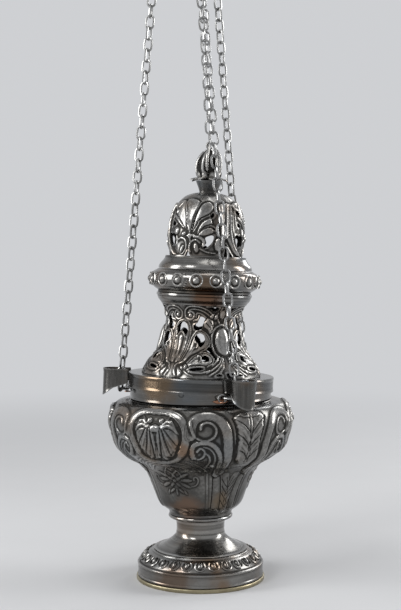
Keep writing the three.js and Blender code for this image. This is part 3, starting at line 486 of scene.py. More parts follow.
# Oval wire links along a line, each turned a quarter against the last.
def linkMaker(finish):
    m = Maker("chain_links", ("Link Length", "Link Width", "Wire", "First Turn", "Twist", "Jitter"))
    line = m.add("GeometryNodeMeshToCurve", None, {"Mesh": m.given("Geometry")})
    spots = m.add("GeometryNodeCurveToPoints", {"mode": "COUNT"}, {"Curve": line, "Count": m.given("Count")})
    along = Value(m, spots.socket.node.outputs["Tangent"])
    place = m.add("GeometryNodeInputIndex")
    loose = m.drawn(m.given("Jitter") * -1.0, m.given("Jitter"), m.given("Seed"))
    turn = (m.given("First Turn") + (place % 2.0) * (math.pi / 2) + loose
            + m.given("Twist") * place / (m.given("Count") - 1.0))
    upright = m.add("FunctionNodeAlignRotationToVector", {"axis": "X"}, {"Vector": along})
    spin = m.add("FunctionNodeAxisAngleToRotation", None, {"Axis": (1, 0, 0), "Angle": turn})
    stance = m.add("FunctionNodeRotateRotation", {"rotation_space": "LOCAL"},
                   {"Rotation": upright, "Rotate By": spin})
    circle, section = (m.add("GeometryNodeCurvePrimitiveCircle", {"mode": "RADIUS"},
                             {"Resolution": steps, "Radius": radius})
                       for steps, radius in ((link["steps"], m.given("Link Width") * 0.5 - m.given("Wire")),
                                             (link["wireSides"], m.given("Wire"))))
    across = m.add("ShaderNodeSeparateXYZ", None, {"Vector": m.add("GeometryNodeInputPosition")}, output="X")
    # The two halves of the circle, -1 and 1 by their sides, are drawn apart.
    side = (across * 1.0e6).held(-1.0, 1.0)
    apart = (m.given("Link Length") - m.given("Link Width")) * 0.5
    pull = m.add("ShaderNodeCombineXYZ", None, {"X": side * apart})
    oval = m.add("GeometryNodeSetPosition", None, {"Geometry": circle, "Offset": pull})
    ring = m.add("GeometryNodeCurveToMesh", None, {"Curve": oval, "Profile Curve": section})
    return m.deliver(spots, ring, stance, (1, 1, 1), finish)


# Copies of a motif, drawn with +X outward at the axis, set round the Z axis.
def roundMaker(finish):
    m = Maker("set_round", ("Radius", "Height", "Tilt", "Phase", "Unevenness"))
    turn = m.given("Phase") + m.add("GeometryNodeInputIndex") * fullTurn / m.given("Count")
    cosine, sine = (m.add("ShaderNodeMath", {"operation": way}, {0: turn}) for way in ("COSINE", "SINE"))
    radius = m.given("Radius")
    spot = m.add("ShaderNodeCombineXYZ", None, {"X": cosine * radius, "Y": sine * radius, "Z": m.given("Height")})
    points = m.add("GeometryNodePoints", None, {"Count": m.given("Count"), "Position": spot})
    uneven = m.given("Unevenness")
    tilt = m.drawn(uneven * -1.0, uneven, m.given("Seed"))
    size = m.drawn(1.0 - uneven, uneven + 1.0, m.given("Seed") + 7.0)
    stance = m.add("ShaderNodeCombineXYZ", None, {"X": tilt, "Y": m.given("Tilt") * -1.0, "Z": turn})
    stance = m.add("FunctionNodeEulerToRotation", None, {"Euler": stance})
    return m.deliver(points, m.given("Geometry"), stance, size, finish)


linkTree = linkMaker(finishes["chain"])
roundTrees = {name: roundMaker(finishes[name]) for name in ("foot", "pierced")}


# A ring of copies of a shape round the axis, in millimetres and radians. What is of pierced silver is the lid's.
def ringOf(name, node, shape, count, radius=0.0, height=0.0, tilt=0.0, phase=0.0, uneven=0.0, seed=0,
           finish="pierced", aside=0.0):
    onLid = finish == "pierced"
    piece = grown(name, roundTrees[finish], meshOf(f"{name}_motif", *shape), {
        "Count": count, "Radius": radius * mm, "Height": height * mm, "Tilt": tilt, "Phase": phase,
        "Unevenness": uneven, "Seed": seed}, finish, onLid)
    if aside:
        piece.data.transform(Matrix.Translation((aside * mm, 0, 0)))
    settle(piece, "lid" if onLid else "bowl_and_handle", node)


# Chains. The three support chains have lower and upper runs, which would bend at the kink when the lid goes up;
# here each is one straight run of links.

chains = [
    {"foot": (21.759, -45.722, 117.8), "kink": (14.457, -38.287, 199.8), "head": (-3.147, -20.360, 397.5),
     "ring": (14.964, -45.666)},
    {"foot": (28.717, 41.705, 117.8), "kink": (22.675, 33.543, 199.8), "head": (8.106, 13.861, 397.5),
     "ring": (32.066, 35.792)},
    {"foot": (-50.476, 4.017, 117.8), "kink": (-43.640, 4.744, 199.8), "head": (-27.159, 6.500, 397.5),
     "ring": (-47.030, 9.874)},
]
hook = {"length": 9.0, "width": 6.4, "wire": 0.7, "ringWire": 0.5, "gap": 0.3}
plateEye = {"degrees": [-78.2, 41.8, 161.8], "loop": 1.6, "wire": 0.6}
lidChain = {"foot": (6.03, 1.58, 268.9), "loop": 2.0, "loopWire": 0.7, "ring": (-0.5, 0, 404.6), "ringWire": 1.0,
            "seed": 9, "steps": 16}


# A run of links between two points: an odd number of them, and more if asked.
def chainRun(name, start, end, firstTurn, twist, seed, more=0):
    count = 2 * round(np.linalg.norm(end - start) / link["pitch"] / 2) + 1 + more
    base = bpy.data.meshes.new(name)
    base.from_pydata([tuple(start * mm), tuple(end * mm)], [(0, 1)], [])
    return grown(name, linkTree, base, {
        "Count": count, "Link Length": link["length"] * mm, "Link Width": link["width"] * mm,
        "Wire": link["wire"] * mm, "First Turn": firstTurn, "Twist": twist,
        "Jitter": math.radians(link["jitterDegrees"]), "Seed": seed}, "chain")


for number, chain in enumerate(chains, 1):
    foot, kink, head, ring = (np.array(chain[part]) for part in ("foot", "kink", "head", "ring"))
    along = math.atan2(*(foot[:2] - ring)[::-1])
    up = (head - foot) / np.linalg.norm(head - foot)
    hookEnd = foot - hook["wire"] * np.array((math.cos(along), math.sin(along), 0))
    start = hookEnd + up * (link["length"] / 2 - link["wire"] - hook["wire"] - link["wire"])
    top = head - (0, 0, plateEye["loop"])
    end = top - up * (link["length"] / 2 - link["wire"] - plateEye["wire"] - link["wire"])
    turn = along + math.pi / 2
    atPlate = math.radians(plateEye["degrees"][number - 1])
    twist = (atPlate - turn + math.pi / 2) % math.pi - math.pi / 2
    piece = chainRun(f"support_chain_{number}", start, end, turn, twist, number)
    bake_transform(piece)
    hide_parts(f"support_chain_lower_{number}", f"support_chain_upper_{number}")

foot, ringFoot = np.array(lidChain["foot"]), np.array(lidChain["ring"])
start = foot + (0, 0, lidChain["loop"] + link["length"] / 2 - 2 * link["wire"] - lidChain["loopWire"])
end = ringFoot - (0, 0, link["length"] / 2 - 2 * link["wire"] - lidChain["ringWire"])
piece = chainRun("lid_chain_links", start, end, 0.0, 0.0, lidChain["seed"], 1)
settle(piece, "lid", "lid_chain")
half = (end - start) / np.linalg.norm(end - start) * link["length"] / 2
print("chains linked")

# Relief: strokes drawn in degrees round the piece and millimetres up its profile


def smooth(share):
    return share * share * (3 - 2 * share)


def ridge(gap):
    return np.clip(1 - gap ** 2, 0, 1)


bandForm = {"foot": 0.72, "shown": 0.8, "edge": 1.12, "fade": 0.3,
            "lines": [(0.28, 0.74, 0.08), (0.25, 1.18, 0.09)]}
grooveForm = {"depth": 0.6, "width": 0.65}
wearForm = {"near": 2, "nearLow": 3.4, "nearHigh": 0.8, "far": 8, "farLow": 0.12, "farHigh": 0.25}
lipForm = {"rise": 0.3, "wide": 0.9}
handWork = {"waves": 14, "count": (2, 22), "slant": (-0.5, 0.5), "phase": (0, 6.28)}


class Sheet:
    # A thin turned wall with chased and pierced work, on a grid of rows up and columns round.
    def __init__(self, profile, rows, columns, axis, reach=None, mirrored=True, lines=(0.6, 1.15)):
        dense = curve(profile, 0.05)
        arc = np.concatenate([[0], np.cumsum(np.linalg.norm(np.diff(dense, axis=0), axis=1))])
        low, high = reach or (0.0, arc[-1])
        self.arcs = np.linspace(low, min(high, arc[-1]), rows)
        self.radii, self.heights = (np.interp(self.arcs, arc, dense[:, k]) for k in (0, 1))
        ahead = np.gradient(np.stack([self.radii, self.heights], 1), axis=0)
        ahead /= np.linalg.norm(ahead, axis=1)[:, None]
        self.normals = np.stack([ahead[:, 1], -ahead[:, 0]], 1)
        self.columns, self.axis, self.mirrored, self.span = columns, axis, mirrored, 120
        self.lineHeight, self.lineWidth = lines
        step = 360 / columns
        self.degrees = (np.arange(columns // 6 + 1) * step if mirrored
                        else np.arange(columns // 3) * step - self.span / 2)
        self.height = np.zeros((rows, len(self.degrees)))
        self.solid = np.full((rows, len(self.degrees)), 9.0)

    def copies(self):
        if self.mirrored:
            return (1, 0), (-1, 0), (-1, self.span), (-1, -self.span)
        return (1, 0), (1, self.span), (1, -self.span)

    # The least distance from each grid point to a stroke, over its copies, and for an outline its inside.
    def away(self, stroke, margin, outline=False):
        points = curve(stroke, 0.4, closed=outline) if len(stroke) > 2 else straight(stroke, 0.25)
        least = np.full(self.height.shape, 99.0)
        rises = points[:, 1]
        row = np.flatnonzero((self.arcs > rises.min() - margin) & (self.arcs < rises.max() + margin))
        if not len(row):
            return least
        reach = margin / (self.radii[row].min() * math.radians(1))
        radius = np.interp(rises, self.arcs, self.radii)
        for sign, shift in self.copies():
            turn = points[:, 0] * sign + shift
            col = np.flatnonzero((self.degrees > turn.min() - reach) & (self.degrees < turn.max() + reach))
            if not len(col):
                continue
            aside = (self.degrees[col][:, None] - turn[None]) * np.radians(radius)[None]
            rise = self.arcs[row][:, None] - rises[None]
            gap = np.sqrt(((aside ** 2)[None] + (rise ** 2)[:, None]).min(2))
            if outline:
                inside = np.zeros(gap.shape, bool)
                x, y = self.degrees[col][None], self.arcs[row][:, None]
                for x0, y0, x1, y1 in zip(turn, rises, np.roll(turn, -1), np.roll(rises, -1)):
                    if y0 != y1:
                        inside ^= ((y0 > y) != (y1 > y)) & (x < (x1 - x0) * (y - y0) / (y1 - y0) + x0)
                gap = np.where(inside, -gap, gap)
            cut = np.ix_(row, col)
            least[cut] = np.minimum(least[cut], gap)
        return least

    def dome(self, turn, arc, wide, tall, leanDegrees):
        radius = math.radians(np.interp(arc, self.arcs, self.radii))
        lean = math.radians(leanDegrees)
        best = np.zeros(self.height.shape)
        for sign, shift in self.copies():
            x = (self.degrees[None] - (turn * sign + shift)) * radius * sign
            y = self.arcs[:, None] - arc
            u = (x * math.cos(lean) + y * math.sin(lean)) / wide
            v = (y * math.cos(lean) - x * math.sin(lean)) / tall
            best = np.maximum(best, np.sqrt(np.maximum(0, 1 - u ** 2 - v ** 2)))
        return best

    def chase(self, relief):
        h = self.height
        for kind, form, stroke in relief:
            if kind == "dome":
                wide, tall, lift, lean = form
                h += lift * self.dome(*stroke[0], wide, tall, lean)
            elif kind == "plate":
                lift, soft = form
                h[:] = np.maximum(h, lift * smooth(np.clip(-self.away(stroke, 1.0, True) / soft, 0, 1)))
            elif kind == "hole":
                self.solid = np.minimum(self.solid, self.away(stroke, 4.0, True))
            else:
                half, lift = form
                gap = self.away(stroke, half * 1.5 + 0.5) / half
                if kind == "band":
                    b = bandForm
                    edge = smooth(np.clip((b["edge"] - gap) / b["fade"], 0, 1))
                    h[:] = np.maximum(h, lift * (b["foot"] + (1 - b["foot"]) * ridge(gap)) * edge * b["shown"])
                    for depth, at, wide in b["lines"]:
                        h -= depth * np.exp(-((gap - at) / wide) ** 2)
                elif kind == "groove":
                    h -= lift * grooveForm["depth"] * ridge(gap / grooveForm["width"])
                else:
                    h += lift * self.lineHeight * ridge(gap / self.lineWidth)
        return self

    # Spreads one sector over the whole turn and adds the slight unevenness of hand work.
    def spread(self, seed, uneven):
        step = 360 / self.columns
        turn = np.arange(self.columns) * step
        if self.mirrored:
            fold = turn % self.span
            pick = np.rint(np.minimum(fold, self.span - fold) / step).astype(int)
        else:
            pick = np.rint(((turn + self.span / 2) % self.span) / step).astype(int) % len(self.degrees)
        self.height, self.solid = self.height[:, pick], self.solid[:, pick]
        self.turns = np.radians(turn + self.axis)
        draw = np.random.default_rng(seed)
        for _ in range(handWork["waves"]):
            count = draw.integers(*handWork["count"])
            slant, phase = draw.uniform(*handWork["slant"]), draw.uniform(*handWork["phase"])
            self.height += uneven / 3 * np.sin(count * self.turns[None] + slant * self.arcs[:, None] + phase)
        return self

    # A raised edge round each hole.
    def lip(self):
        near = np.clip(self.solid, 0, None) / lipForm["wide"]
        self.height += lipForm["rise"] * np.exp(-near ** 2) * (self.solid < 8)
        return self

    # The height over that of the grid within reach, which is averaged twice.
    def over(self, reach):
        height, wide = self.height, 2 * reach + 1
        for _ in range(2):
            pad = np.pad(height, ((reach, reach), (0, 0)), mode="edge")
            height = sum(pad[k:k + len(self.arcs)] for k in range(wide)) / wide
            height = sum(np.roll(height, k, 1) for k in range(-reach, reach + 1)) / wide
        return self.height - height

    def wear(self):
        near, far = self.over(wearForm["near"]), self.over(wearForm["far"])
        return np.clip(0.5 + np.where(near < 0, wearForm["nearLow"], wearForm["nearHigh"]) * near
                       + np.where(far < 0, wearForm["farLow"], wearForm["farHigh"]) * far, 0, 1)

    def surface(self, inset, flat=False):
        rise = (np.zeros_like(self.height) if flat else self.height) - inset
        radius = self.radii[:, None] + self.normals[:, 0:1] * rise
        height = self.heights[:, None] + self.normals[:, 1:2] * rise
        return np.stack([radius * np.cos(self.turns), radius * np.sin(self.turns), height], 2)

    # The outer skin, open at both ends.
    def skin(self, inset, keep):
        surface, wear = self.surface(inset)[keep], self.wear()[keep]
        grid = np.arange(wear.size).reshape(wear.shape)
        ahead = np.roll(grid, -1, 1)
        faces = np.stack([grid[:-1], ahead[:-1], ahead[1:], grid[1:]], 2).reshape(-1, 4)
        return surface.reshape(-1, 3), faces.tolist(), wear.reshape(-1)

    # A pierced wall: the grid is cut where `solid` turns negative, given an inner skin and closed edges.
    def pierced(self, wall, inset):
        rows, columns = self.height.shape
        outer, inner = self.surface(inset), self.surface(inset + wall, flat=True)
        shown, field = self.wear(), self.solid
        points, inside, wear, index, faces = [], [], [], {}, []

        # The number of a grid corner, or of the cut between two, made when first asked for.
        def numbered(a, b=None):
            if (a, b) not in index:
                share = min(max(field[a] / (field[a] - field[b]), 0.04), 0.96) if b else 0.0
                index[a, b] = len(points)
                for made, given in ((points, outer), (inside, inner)):
                    made.append(given[a] + (given[b or a] - given[a]) * share)
                wear.append(max(shown[a], shown[b or a]))
            return index[a, b]

        for row in range(rows - 1):
            for column in range(columns):
                after = (column + 1) % columns
                ring = [(row, column), (row, after), (row + 1, after), (row + 1, column)]
                full = [field[corner] > 0 for corner in ring]
                if not any(full):
                    continue
                face = []
                for k in range(4):
                    n = (k + 1) % 4
                    if full[k]:
                        face.append(numbered(ring[k]))
                    if full[k] != full[n]:
                        face.append(numbered(*sorted((ring[k], ring[n]))))
                faces.append(face)
        edges = {pair: None for face in faces for pair in zip(face, face[1:] + face[:1])}
        count = len(points)
        faces += [[k + count for k in face[::-1]] for face in faces]
        faces += [[b, a, a + count, b + count] for a, b in edges if (b, a) not in edges]
        return np.vstack([points, inside]), faces, np.concatenate([wear, np.full(count, 0.12)])


# A table lists strokes by kind and form: plate (lift, softness), dome (half width, half height, lift, lean in
# degrees), hole (no form), band, line and groove (half width, lift). Strokes of one form stand between slashes.
def drawnFrom(table):
    relief = []
    for entry in table.split(";")[:-1]:
        head, strokes = entry.split(":")
        kind, *form = head.split()
        for stroke in strokes.split("/"):
            points = [[float(n) for n in point.split()] for point in stroke.split(",")]
            relief.append((kind, [float(n) for n in form], points))
    return relief


# One sector of each piece, from its axis outwards

bowlRelief = """
band 2.3 1.7: -2.4 83.7, 4 84, 10.3 83.1, 15.9 79.6, 19.1 73.9, 19.5 67.2, 18 61.5, 15.9 57.6; line 0.55 1:
-1.1 82.2, 5.2 82.2, 10.8 80.6, 14.8 77.2, 16.8 72.7, 17.1 67.2, 15.5 62; band 1.7 1.2: 16.6 57.8, 12.6 53, 6.5 50,
0 49.2; plate 1.2 2: -1.8 75.2, 2.2 76.1, 5.3 77.7, 8.3 79.6, 12.3 78.3, 14.6 74.3, 15.4 69, 15 63.3, 9.5 56.3,
3.6 53.9, -2.5 53.7, -7.4 53.6; groove 0.7 0.8: 0.6 71.3, -0.3 63, -2.3 54.2; groove 0.8 1: 3 72, 3 63.9, 2.8 54.7 /
4.7 72.4, 6.5 64.8, 9.2 56.6 / 6 73.1, 9.8 68.1, 14 62.3; groove 0.7 0.8: 6.9 73.7, 11.3 72.5, 15.1 69.6;
line 0.6 0.7: 2.4 72.6, 1.7 63.8, 0.8 55.3 / 4 72.7, 4.8 64.3, 6.4 56.4 / 5.7 73.4, 8.4 66.8, 11.9 60; line 0.7 0.9:
5 73.9, 8.8 75.2, 12.5 73.4, 14.9 70.2; dome 1.9 1.9 1.3 0: 4 77.9; dome 3 2.4 1.1 0: 0.4 73.6; line 0.8 0.9:
6.1 76.3, 7.8 79, 10.2 80.3, 12.8 78.9, 14.6 75.5; dome 1.5 1.5 0.6 0: 10.5 77.6; line 0.7 0.7: -7.2 54, -2.7 53.2,
1 54.9, 3.5 53.5, 6.9 55.4, 9.9 56.6, 12.9 60.6, 15.5 62; band 2.9 1.5: 22.3 69.2, 22.6 74.5, 24.9 79.2, 29.7 81.6,
35.2 81.5, 39.9 79, 43.3 73.7, 45.2 66.3, 46 58, 45.6 48.2, 45.2 36.8; line 0.75 1.3: 22 78.5, 23 73.4, 25 68.9,
29.1 66.6, 33.3 66.7, 36.8 69.1, 37.7 73.3, 35.6 76.5, 32 77.6, 29.1 76.3, 28.3 73.7; dome 2.7 2.5 -1.3 0:
32.6 73.4; band 1.5 1.2: 23.7 55, 22.7 59.7, 24.2 63.2, 27.9 64.8, 32.7 64.9, 37.1 62.4, 40.5 57.6, 42 50.9,
42.4 40.8, 42.1 34; line 0.7 1.1: 24.1 55.7, 26.9 53.8, 30.1 56.1, 30.7 59.7, 28.2 61.5, 26 59.4; line 0.6 0.7:
30.3 62.5, 34 61.2, 37 57.7, 37.9 52.2, 36.2 44.9, 31.7 43.4 / 31.6 58.4, 33.9 55.7, 34.3 50.7, 32.7 45.7;
dome 1.6 1 0.9 -20: 36.7 46.5; plate 1.3 2.2: 51.6 52.2, 52.5 60.8, 51 69.1, 49.6 75.7, 48.4 79.6, 50.6 82.6,
55.3 84, 61.3 84.3, 67.1 82.9, 69.1 79.7, 67.8 71.5, 69.1 61.2, 68.6 52.9, 63.9 47.1; groove 0.65 0.9: 58.8 81.1,
59.2 72.2, 60.5 62.1, 61.1 51 / 49.6 78.9, 54.2 76.1, 59.2 71 / 51.6 70, 56 66.6, 60.6 60.8 / 53.3 59.8, 56.4 58,
60.8 53; line 0.9 0.6: 51.1 74.5, 54.7 71.9, 59.3 66 / 52.9 64.6, 56.2 61.8, 60.4 57; line 0.9 0.7: 53.5 81.7,
55.5 80.5, 58.7 80.5; groove 0.55 0.6: 53 81.1, 55.4 79.6, 58.6 79.7; groove 0.8 1.3: 48.2 79.9, 49.7 75.1,
50.8 68.5, 52 60.8, 51.9 53.1; line 0.55 0.55: 3.3 46.1, 12 43.4, 20.6 37.2 / 10.7 48.8, 18.8 45.5, 27.8 37.3 /
18.2 50.5, 25.6 46.4, 33.1 37.2; line 0.6 0.6: -5.6 37.3, -1 34.4, 1.9 31.4; line 0.5 0.5: 3 39.6, 7.1 36, 9.6 31.8;
dome 1.2 1.2 0.6 0: 0 29; dome 1.0 1.9 0.45 -60: 4.6 30.6; dome 1.0 1.9 0.45 40: 3.6 26.2; dome 1.0 1.8 0.45 0:
0 33; dome 1.1 3.6 0.5 -62: 11.6 33.4; dome 1.2 3.8 0.5 -90: 13.4 29.6; dome 1.1 3.4 0.5 64: 12 26; groove 0.3 0.35:
9.4 29.6, 17.4 29.7; line 0.5 0.45: 18.6 25.2, 23.6 26.4, 25.8 29.4, 24.4 32, 21.4 31.6, 21.4 29.6;
dome 0.8 2.3 0.45 50: 5.8 22; dome 0.7 1.9 0.4 25: 11 21; dome 0.8 2.4 0.4 0: 0 21; line 0.7 0.3: 34.4 34.3,
35.9 20.2, 36.2 8.7; line 1.7 0.8: 44.2 33.1, 47.1 19.9, 46.5 8.3; groove 0.6 0.8: 40.3 33.2, 41.9 20.1, 41.5 7.4 /
48.8 32.1, 52.4 19.7, 53.3 7.9; line 2.1 0.7: 54.3 33.3, 60.3 19.3, 60.3 8.9; groove 0.4 0.6: 56.2 31.6, 61.4 19.9,
61.2 10.1; groove 0.45 0.55: 51.1 30.4, 55.2 26.9, 59.6 24.2 / 52.9 25.3, 57.1 21.9, 61.6 19.2 / 53.7 20.3, 58.3 17,
62.3 14.3 / 53.5 15.5, 57.3 12.5, 61.9 10;
"""

skirtRelief = """
hole: -4.5 35.7, 0 36.3, 4.5 35.7, 8.6 33.4, 9.4 30.6, 7.4 27.4, 5.8 28.3, 3 30, 0 30.6, -3 30, -5.8 28.3,
-7.4 27.4, -9.4 30.6, -8.6 33.4 / 19.9 26.7, 22.3 29, 27.1 29.9, 32.3 28.8, 34.8 26.1, 33.3 23, 28.8 21, 26.2 22,
25.2 23.4, 21.6 25 / 31.3 14.5, 34.8 15.7, 38.7 14.5, 39.6 12.3, 37.2 10.7, 33 10.3, 31 12.1 / 36.6 19.7, 42.2 21.9,
45 18.5, 48.6 14, 46.3 12.9, 42.7 16.9 / 18.6 31.9, 16.9 34.3, 22.4 36.3, 26.3 39.5, 31.7 39.3, 34.2 37.6, 30.6 35,
30 32.5, 24 31.4 / 36.2 46, 43.5 46, 52.5 46.1, 52 44.4, 47.3 43.1, 41.2 44.6 / 18.7 5.2, 22.8 6.4, 29.7 6.9,
33.6 6.3, 30.8 5.1, 25.1 4.5, 20.7 4.5 / 45 1.6, 48.7 3.2, 51.8 1.7 / 55.6 3.1, 58.9 3.5, 62.1 1, 57.7 0.1;
plate 0.7 1.6: -0.9 37.2, 9.5 35.8, 14.4 31.5, 13.2 25.4, 9 18, 5 10.9, 0 10.6, -3 21.7, -6.5 28.5, -7.7 34.6;
line 0.6 0.9: -0.2 37.6, 8.4 36.4, 13.4 32.4, 13 27, 9.6 20, 5 11.3; plate 1.25 2.6: 0 30.3, 4 29.2, 6.6 27.2,
5.6 21, 3.4 14.5, 0 11, -3.4 14.5, -5.6 21, -6.6 27.2, -4 29.2; line 0.4 0.8: 9 27, 7.6 21, 4.6 14; plate 0.7 1.6:
7.6 10.5, 12 19.1, 17.2 26.7, 24.9 31.7, 35.6 30.3, 42 25.3, 38.7 20.9, 29.8 18.5, 20.3 15.6, 12 10.5; line 0.6 0.9:
6.8 10.9, 11.5 19, 16.2 26.9, 24.6 31.5, 35.1 30.1, 41.5 25.3, 38.2 20.9, 28.5 18.2; line 0.55 0.9: 21 24.1,
24.6 23.1, 24.3 20.9, 20.4 20.6, 15.4 15.4, 12.7 12.1; groove 0.45 0.8: 33 19.8, 26.7 18.5, 19 14.8, 15.3 11.6;
plate 0.7 1.5: 15.7 9.7, 20.7 14.7, 29.8 17.9, 38.6 18, 44.2 14.7, 43.2 10.5, 36.6 7.8, 27.6 7.9, 19.6 7.5;
line 0.6 0.9: 15.4 10.5, 20.7 14.9, 29.3 17.6, 38 17.7, 43.9 14.6, 43.2 10.5, 37.2 7.7; line 0.5 0.9: 26 15.6,
29.9 14.7, 30.7 12.6, 28.5 10.5; groove 0.4 0.5: 18.6 9.5, 23.2 12.4, 27.9 13.5; line 0.6 0.8: 16.8 5.1, 20.7 6.8,
27.6 7.5, 34.2 7.4 / 18.4 3.9, 25.2 3.3, 32.7 3.7, 39.5 5.2 / 56 15.1, 50.6 10.6, 43.9 6.5, 36.5 3.6 / 56.6 13.7,
51.8 8.8, 45.9 4.7, 39.3 2 / 51.8 15.5, 47.7 11.9, 42.2 8.5; line 0.6 0.7: 56.2 11.5, 53.4 7, 49.7 3.8;
dome 4.5 9 2.3 0: 59.4 25.1; line 0.65 1.1: 61.8 35.3, 50.8 33.5, 45.2 29.3, 44.3 24.7, 46.3 19.8, 50.6 15.7,
56 13.9; groove 0.5 0.6: 61.3 33.6, 53.5 32.1, 49.6 28.4, 48.7 24.5, 50.4 20.1, 53.3 17.3, 56.9 15.8; line 0.7 1:
4.2 38.5, 10.2 37.7, 16 38.8, 17.2 40.9, 13.3 42.5, 8.2 41.7; dome 1.3 1.3 0.7 0: 11.3 40.2; line 0.7 1: 3.1 39.1,
2.7 42.2, 8.3 45.2, 16.4 46.3, 25.9 45.8, 35.7 43.9, 45.2 41.1; line 0.55 0.8: 9.5 43.2, 17.3 44.2, 27.3 43.4,
37.1 41.4, 44 38.9; line 0.5 0.7: 20 38.9, 21.4 41.6, 28.8 41.2, 34.9 39.4; line 0.6 0.8: 16.5 37.2, 23.1 38,
25 40.2; plate 0.8 1.3: 34.6 37.8, 31.4 35.5, 32.2 33.2, 37.3 31.7, 40.7 29.3, 45.8 30.4, 47.4 34.5, 46.4 37.5,
42.5 39, 37.9 39.3; groove 0.5 0.9: 35.3 36.1, 40.8 33.7, 43.4 30.9 / 40.2 37.9, 44.4 35, 45.5 32;
dome 1.1 1.6 0.9 -30: 44.4 40.2; dome 1 1.7 0.9 -25: 50.8 39.6; line 0.6 1: 58 45.9, 56.9 43.6, 57.6 40.9,
59.9 37.9; dome 1.7 2.8 1.1 0: 60 41.3; line 0.5 0.7: 53.6 42.1, 52.2 40.6, 54.3 37.6, 56.4 35.8; groove 0.4 0.7:
60 38.4, 60 35.5; line 0.6 1: 10.2 10.5, 5.4 9.3, 3.4 6.9, 3.4 4.2, 5.7 1; plate 0.6 1.2: 6.2 6.8, 10 5.3, 12.6 3.4,
11.3 0.9, 7.9 1; dome 0.8 1.7 1 25: 11 6.4; dome 1 2 1.1 0: 14.5 7.3; line 0.45 0.8: 15.5 10.1, 17.7 8.2, 19.7 6.9;
line 0.5 0.6: 13.8 4.4, 17.8 2.4, 22.7 1.3;
"""

cupolaRelief = """
hole: 25.5 11, 30.9 12.4, 38 12.9, 37.8 9.6, 32.4 6.7, 24.9 4.7, 23.4 5.6, 27.3 8.2 / 31.8 24.4, 36.3 26.7,
38.8 25.3, 35.3 23.5 / 35 18.3, 40.2 17, 38.7 16 / -10.4 -1.5, -6.1 1.1, -2.1 3.3, 0.9 1.2, 3.2 -1.3 / 56.9 -0.6,
56.9 3.9, 58 8.4, 64.4 4.3, 74.8 -0.4 / 75.2 12.9, 81.6 13.9, 87.3 11.9, 88.2 7.4, 81.1 6.7 / -37.5 27.1,
-36.2 29.1, -30 27.7, -31.5 26.2 / -38.5 19.3, -36.8 21.5, -28.9 19.9, -32.7 18.3 / -36.9 11.9, -31.7 14,
-24.5 11.9, -24.7 7.6, -31.3 7.2; plate 0.95 1.1: -44.7 33.2, -17.4 35, -6.4 25, -4.5 16, -17.2 20.6, -37 27.6 /
-15.4 35.2, 13 34.6, 6.9 23.8, 3.1 15.8, -2.5 15.8; plate 0.9 1.1: 16.4 32, 29.8 34.6, 38.5 31.2, 31.4 26,
17.6 22.8, 10.9 18.2, 5.6 15.8, 9.3 25.2; plate 0.85 1: 13.6 16, 19.6 21, 32 23.4, 35.2 19.9, 24.4 18.1, 15.6 14.6 /
15 13.2, 22.2 16.8, 34 17.6, 38 14.7, 29.4 12.8, 20.7 12.1 / -39.7 24.7, -27.8 25.1, -9.4 18.1, -9.9 16.5,
-25.1 20.7; line 0.45 1: 14.6 33.3, 7.5 24.7, 4.2 16.1; line 0.45 0.9: 30.9 25.1, 17.5 22.1, 12.3 18.3, 7.9 15.2 /
34 19, 24.2 17.5, 14.6 14 / -14.4 33.6, -5.9 24.9, -3.2 15.9; plate 1.3 0.8: 1.7 16.8, 4 13.6, 11.6 13.4, 5 11.2,
2.4 7.6, -1 11, -8.6 11.6, -1 13.6; dome 2.3 2.4 1.2 0: -24.4 15.3; dome 2 1.3 1 30: -9.3 13.5; line 0.65 1.1:
-21 9.8, -12.1 10.9, -5.3 8.6, -5.3 4.6, -14.4 0.7, -30.1 -0.3; dome 1.2 3.2 1 -25: -13.7 3.7; line 0.65 1.1: 2 2.4,
1 5.6, 3.8 8.5, 11.3 9.9, 17.5 8.3; dome 1.5 3.2 1.2 10: 11.9 5; band 1 1: 8.7 11.9, 17.3 11.4, 23 9.4, 23.6 6.4;
line 0.55 0.8: 18.4 4.5, 25.4 3.1, 33.6 2.2, 41.3 2.1; plate 0.9 1.2: 47.2 32.8, 47 25, 48.3 15.2, 47.4 6.8,
52.3 3.2, 55.6 6.3, 57.5 10.6, 63.5 7.6, 74.2 2.3, 89.8 -0.3, 93.9 1.3, 78.3 7.3, 70.4 15.7, 71.5 25.5, 72.9 33.4;
line 0.6 0.8: 51.6 32.2, 50.6 23.8, 50.9 15.3, 49.6 8.6 / 62.8 33.2, 59.6 24, 58.2 15.4, 57.5 10.6 / 71.4 31.3,
68 22.9, 66.2 14.4, 73.9 6.6, 90.6 0.7; groove 0.45 0.7: 56.9 32.3, 55.3 22.7, 54.6 11.7 / 67.1 31.9, 63.9 22.9,
62.2 11.9; dome 2.3 4.2 1.3 0: 45.7 7.3; line 0.5 0.6: 45.1 10.9, 45.7 7.3, 46.3 3.7; line 0.6 0.7: 79.6 30.2,
79.1 23.2, 78.3 17; line 0.6 0.6: -22.2 35.5, -22.3 32.9, -29.2 30.1;
"""

# Bowl: the belly and the cup under it, both chased

